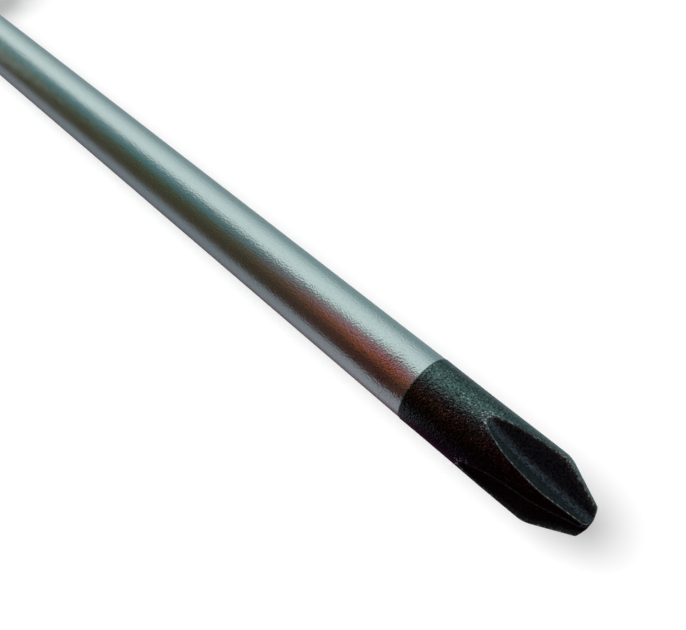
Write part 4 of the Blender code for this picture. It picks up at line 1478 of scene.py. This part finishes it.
# %% Blade steel
PLATING = (0.45, 0.57, 0.56)
PLATING_PALE = (0.50, 0.63, 0.62)
PLATED_ROUGHNESS = (0.20, 0.25)
BLACKENING = (0.012, 0.021, 0.020)
BLACKENING_PALE = (0.098, 0.195, 0.182)
BLACK_ROUGHNESS = 0.25
MILLED = (0.009, 0.014, 0.019)
MILLED_PALE = (0.078, 0.122, 0.140)
MILLED_ROUGHNESS = 0.60
BURNISHED = (0.048, 0.050, 0.053)
BARE_STEEL = (0.42, 0.47, 0.45)
SCUFFED_METAL = 0.45

plated_colour = colour_mix(tree, peel["Speckle"], PLATING, PLATING_PALE)
black_colour = colour_mix(tree, blast["Speckle"], BLACKENING, BLACKENING_PALE)
milled_colour = colour_mix(tree, blast["Speckle"], MILLED, MILLED_PALE)
black_colour = colour_mix(tree, milled, black_colour, milled_colour)
black_colour = colour_mix(tree, edge, black_colour, BURNISHED)
black_colour = colour_mix(tree, maths(tree, "MAXIMUM", spark, scuffed), black_colour, BARE_STEEL)
plated_roughness = remap(tree, peel["Patch"], 0.0, 1.0, *PLATED_ROUGHNESS)
black_roughness = value_mix(tree, milled, BLACK_ROUGHNESS, MILLED_ROUGHNESS)
lit_surface(
    tree,
    colour_mix(tree, black, plated_colour, black_colour),
    value_mix(tree, black, plated_roughness, black_roughness),
    value_mix(tree, black, pitted, blast["Height"]),
    value_mix(tree, maths(tree, "MULTIPLY", black, dulled), 1.0, SCUFFED_METAL),
)
blade_mesh.materials.append(blade_steel)
print("blade steel:", len(tree.nodes), "nodes")

# %% [markdown]
# ## Handle: plastic and soft grip
#
# The shell, the core and the cap are satin plastic from etched moulds, and the sleeve and the pads are a
# matt elastomer. Four separate node trees would say nearly the same four times. All of them have one
# recipe with other values, so a function writes it.

# %% Recipe of a moulded finish
RUBBED_SIZE = 1.2 * MM
RUBBED_GLOSS = 0.12
DUST_CLUMP_SIZE = 0.9 * MM
DUST_COLOUR = (0.30, 0.29, 0.27)
DUST_ROUGHNESS = 0.85


def moulded_finish(name, meshes, colours, rubbed_colour, roughness, grain, dust):
    """A moulded surface: two shades, rubbed edges, dust in hollows and an etched grain."""
    material, tree = empty_material(name)
    where = place(tree, "ShaderNodeTexCoord").outputs["Object"]
    edge = kept_mark(tree, "edge")
    hollow = kept_mark(tree, "hollow")
    grain_size, grain_depth = grain
    etched = use_group(tree, fine_grain, Place=where, Size=grain_size, Depth=grain_depth)
    rubbed = use_group(tree, rubbed_edges, Place=where, Edge=edge, Size=RUBBED_SIZE)["Mask"]
    dusty = use_group(tree, settled_dust, Place=where, Hollow=hollow, Size=DUST_CLUMP_SIZE)["Mask"]
    colour = colour_mix(tree, etched["Patch"], *colours)
    colour = colour_mix(tree, rubbed, colour, rubbed_colour)
    colour = colour_mix(tree, maths(tree, "MULTIPLY", dusty, dust), colour, DUST_COLOUR)
    dull = remap(tree, etched["Patch"], 0.0, 1.0, *roughness)
    dull = value_mix(tree, rubbed, dull, roughness[0] - RUBBED_GLOSS)
    dull = value_mix(tree, dusty, dull, DUST_ROUGHNESS)
    lit_surface(tree, colour, dull, etched["Height"])
    for mesh in meshes:
        mesh.materials.append(material)
    print(f"{name}: {len(tree.nodes)} nodes, pieces: {len(meshes)}")


print(f"dust clumps of {DUST_CLUMP_SIZE / MM:.1f} mm, rubbed patches of {RUBBED_SIZE / MM:.1f} mm")

# %% [markdown]
# The four finishes differ in their two shades, in how far rubbing lightens them, in their gloss, in the
# size and depth of the etched grain, and in how much the dust shows.

# %% Moulded finishes
moulded_finish(
    "shell_plastic",
    [shell_mesh],
    colours=((0.030, 0.054, 0.082), (0.040, 0.066, 0.097)),
    rubbed_colour=(0.10, 0.135, 0.175),
    roughness=(0.38, 0.48),
    grain=(0.42 * MM, 0.020 * MM),
    dust=0.16,
)
moulded_finish(
    "core_plastic",
    [core_mesh],
    colours=((0.026, 0.026, 0.029), (0.034, 0.034, 0.037)),
    rubbed_colour=(0.07, 0.07, 0.075),
    roughness=(0.36, 0.46),
    grain=(0.30 * MM, 0.012 * MM),
    dust=0.16,
)
moulded_finish(
    "soft_grip",
    [sleeve_mesh, *pad_meshes],
    colours=((0.010, 0.010, 0.011), (0.016, 0.016, 0.017)),
    rubbed_colour=(0.035, 0.035, 0.037),
    roughness=(0.64, 0.78),
    grain=(0.30 * MM, 0.030 * MM),
    dust=0.05,
)
moulded_finish(
    "cap_plastic",
    [cap_mesh],
    colours=((0.40, 0.42, 0.43), (0.44, 0.46, 0.47)),
    rubbed_colour=(0.52, 0.54, 0.55),
    roughness=(0.36, 0.46),
    grain=(0.40 * MM, 0.018 * MM),
    dust=0.16,
)

# %% [markdown]
# ## Size of the solids
#
# The fine surfaces have to stay inside the box of the solids, so the size of that box is printed.

# %% Finish
print("solids", [round(side / MM, 1) for side in cad_high - cad_low], "mm")
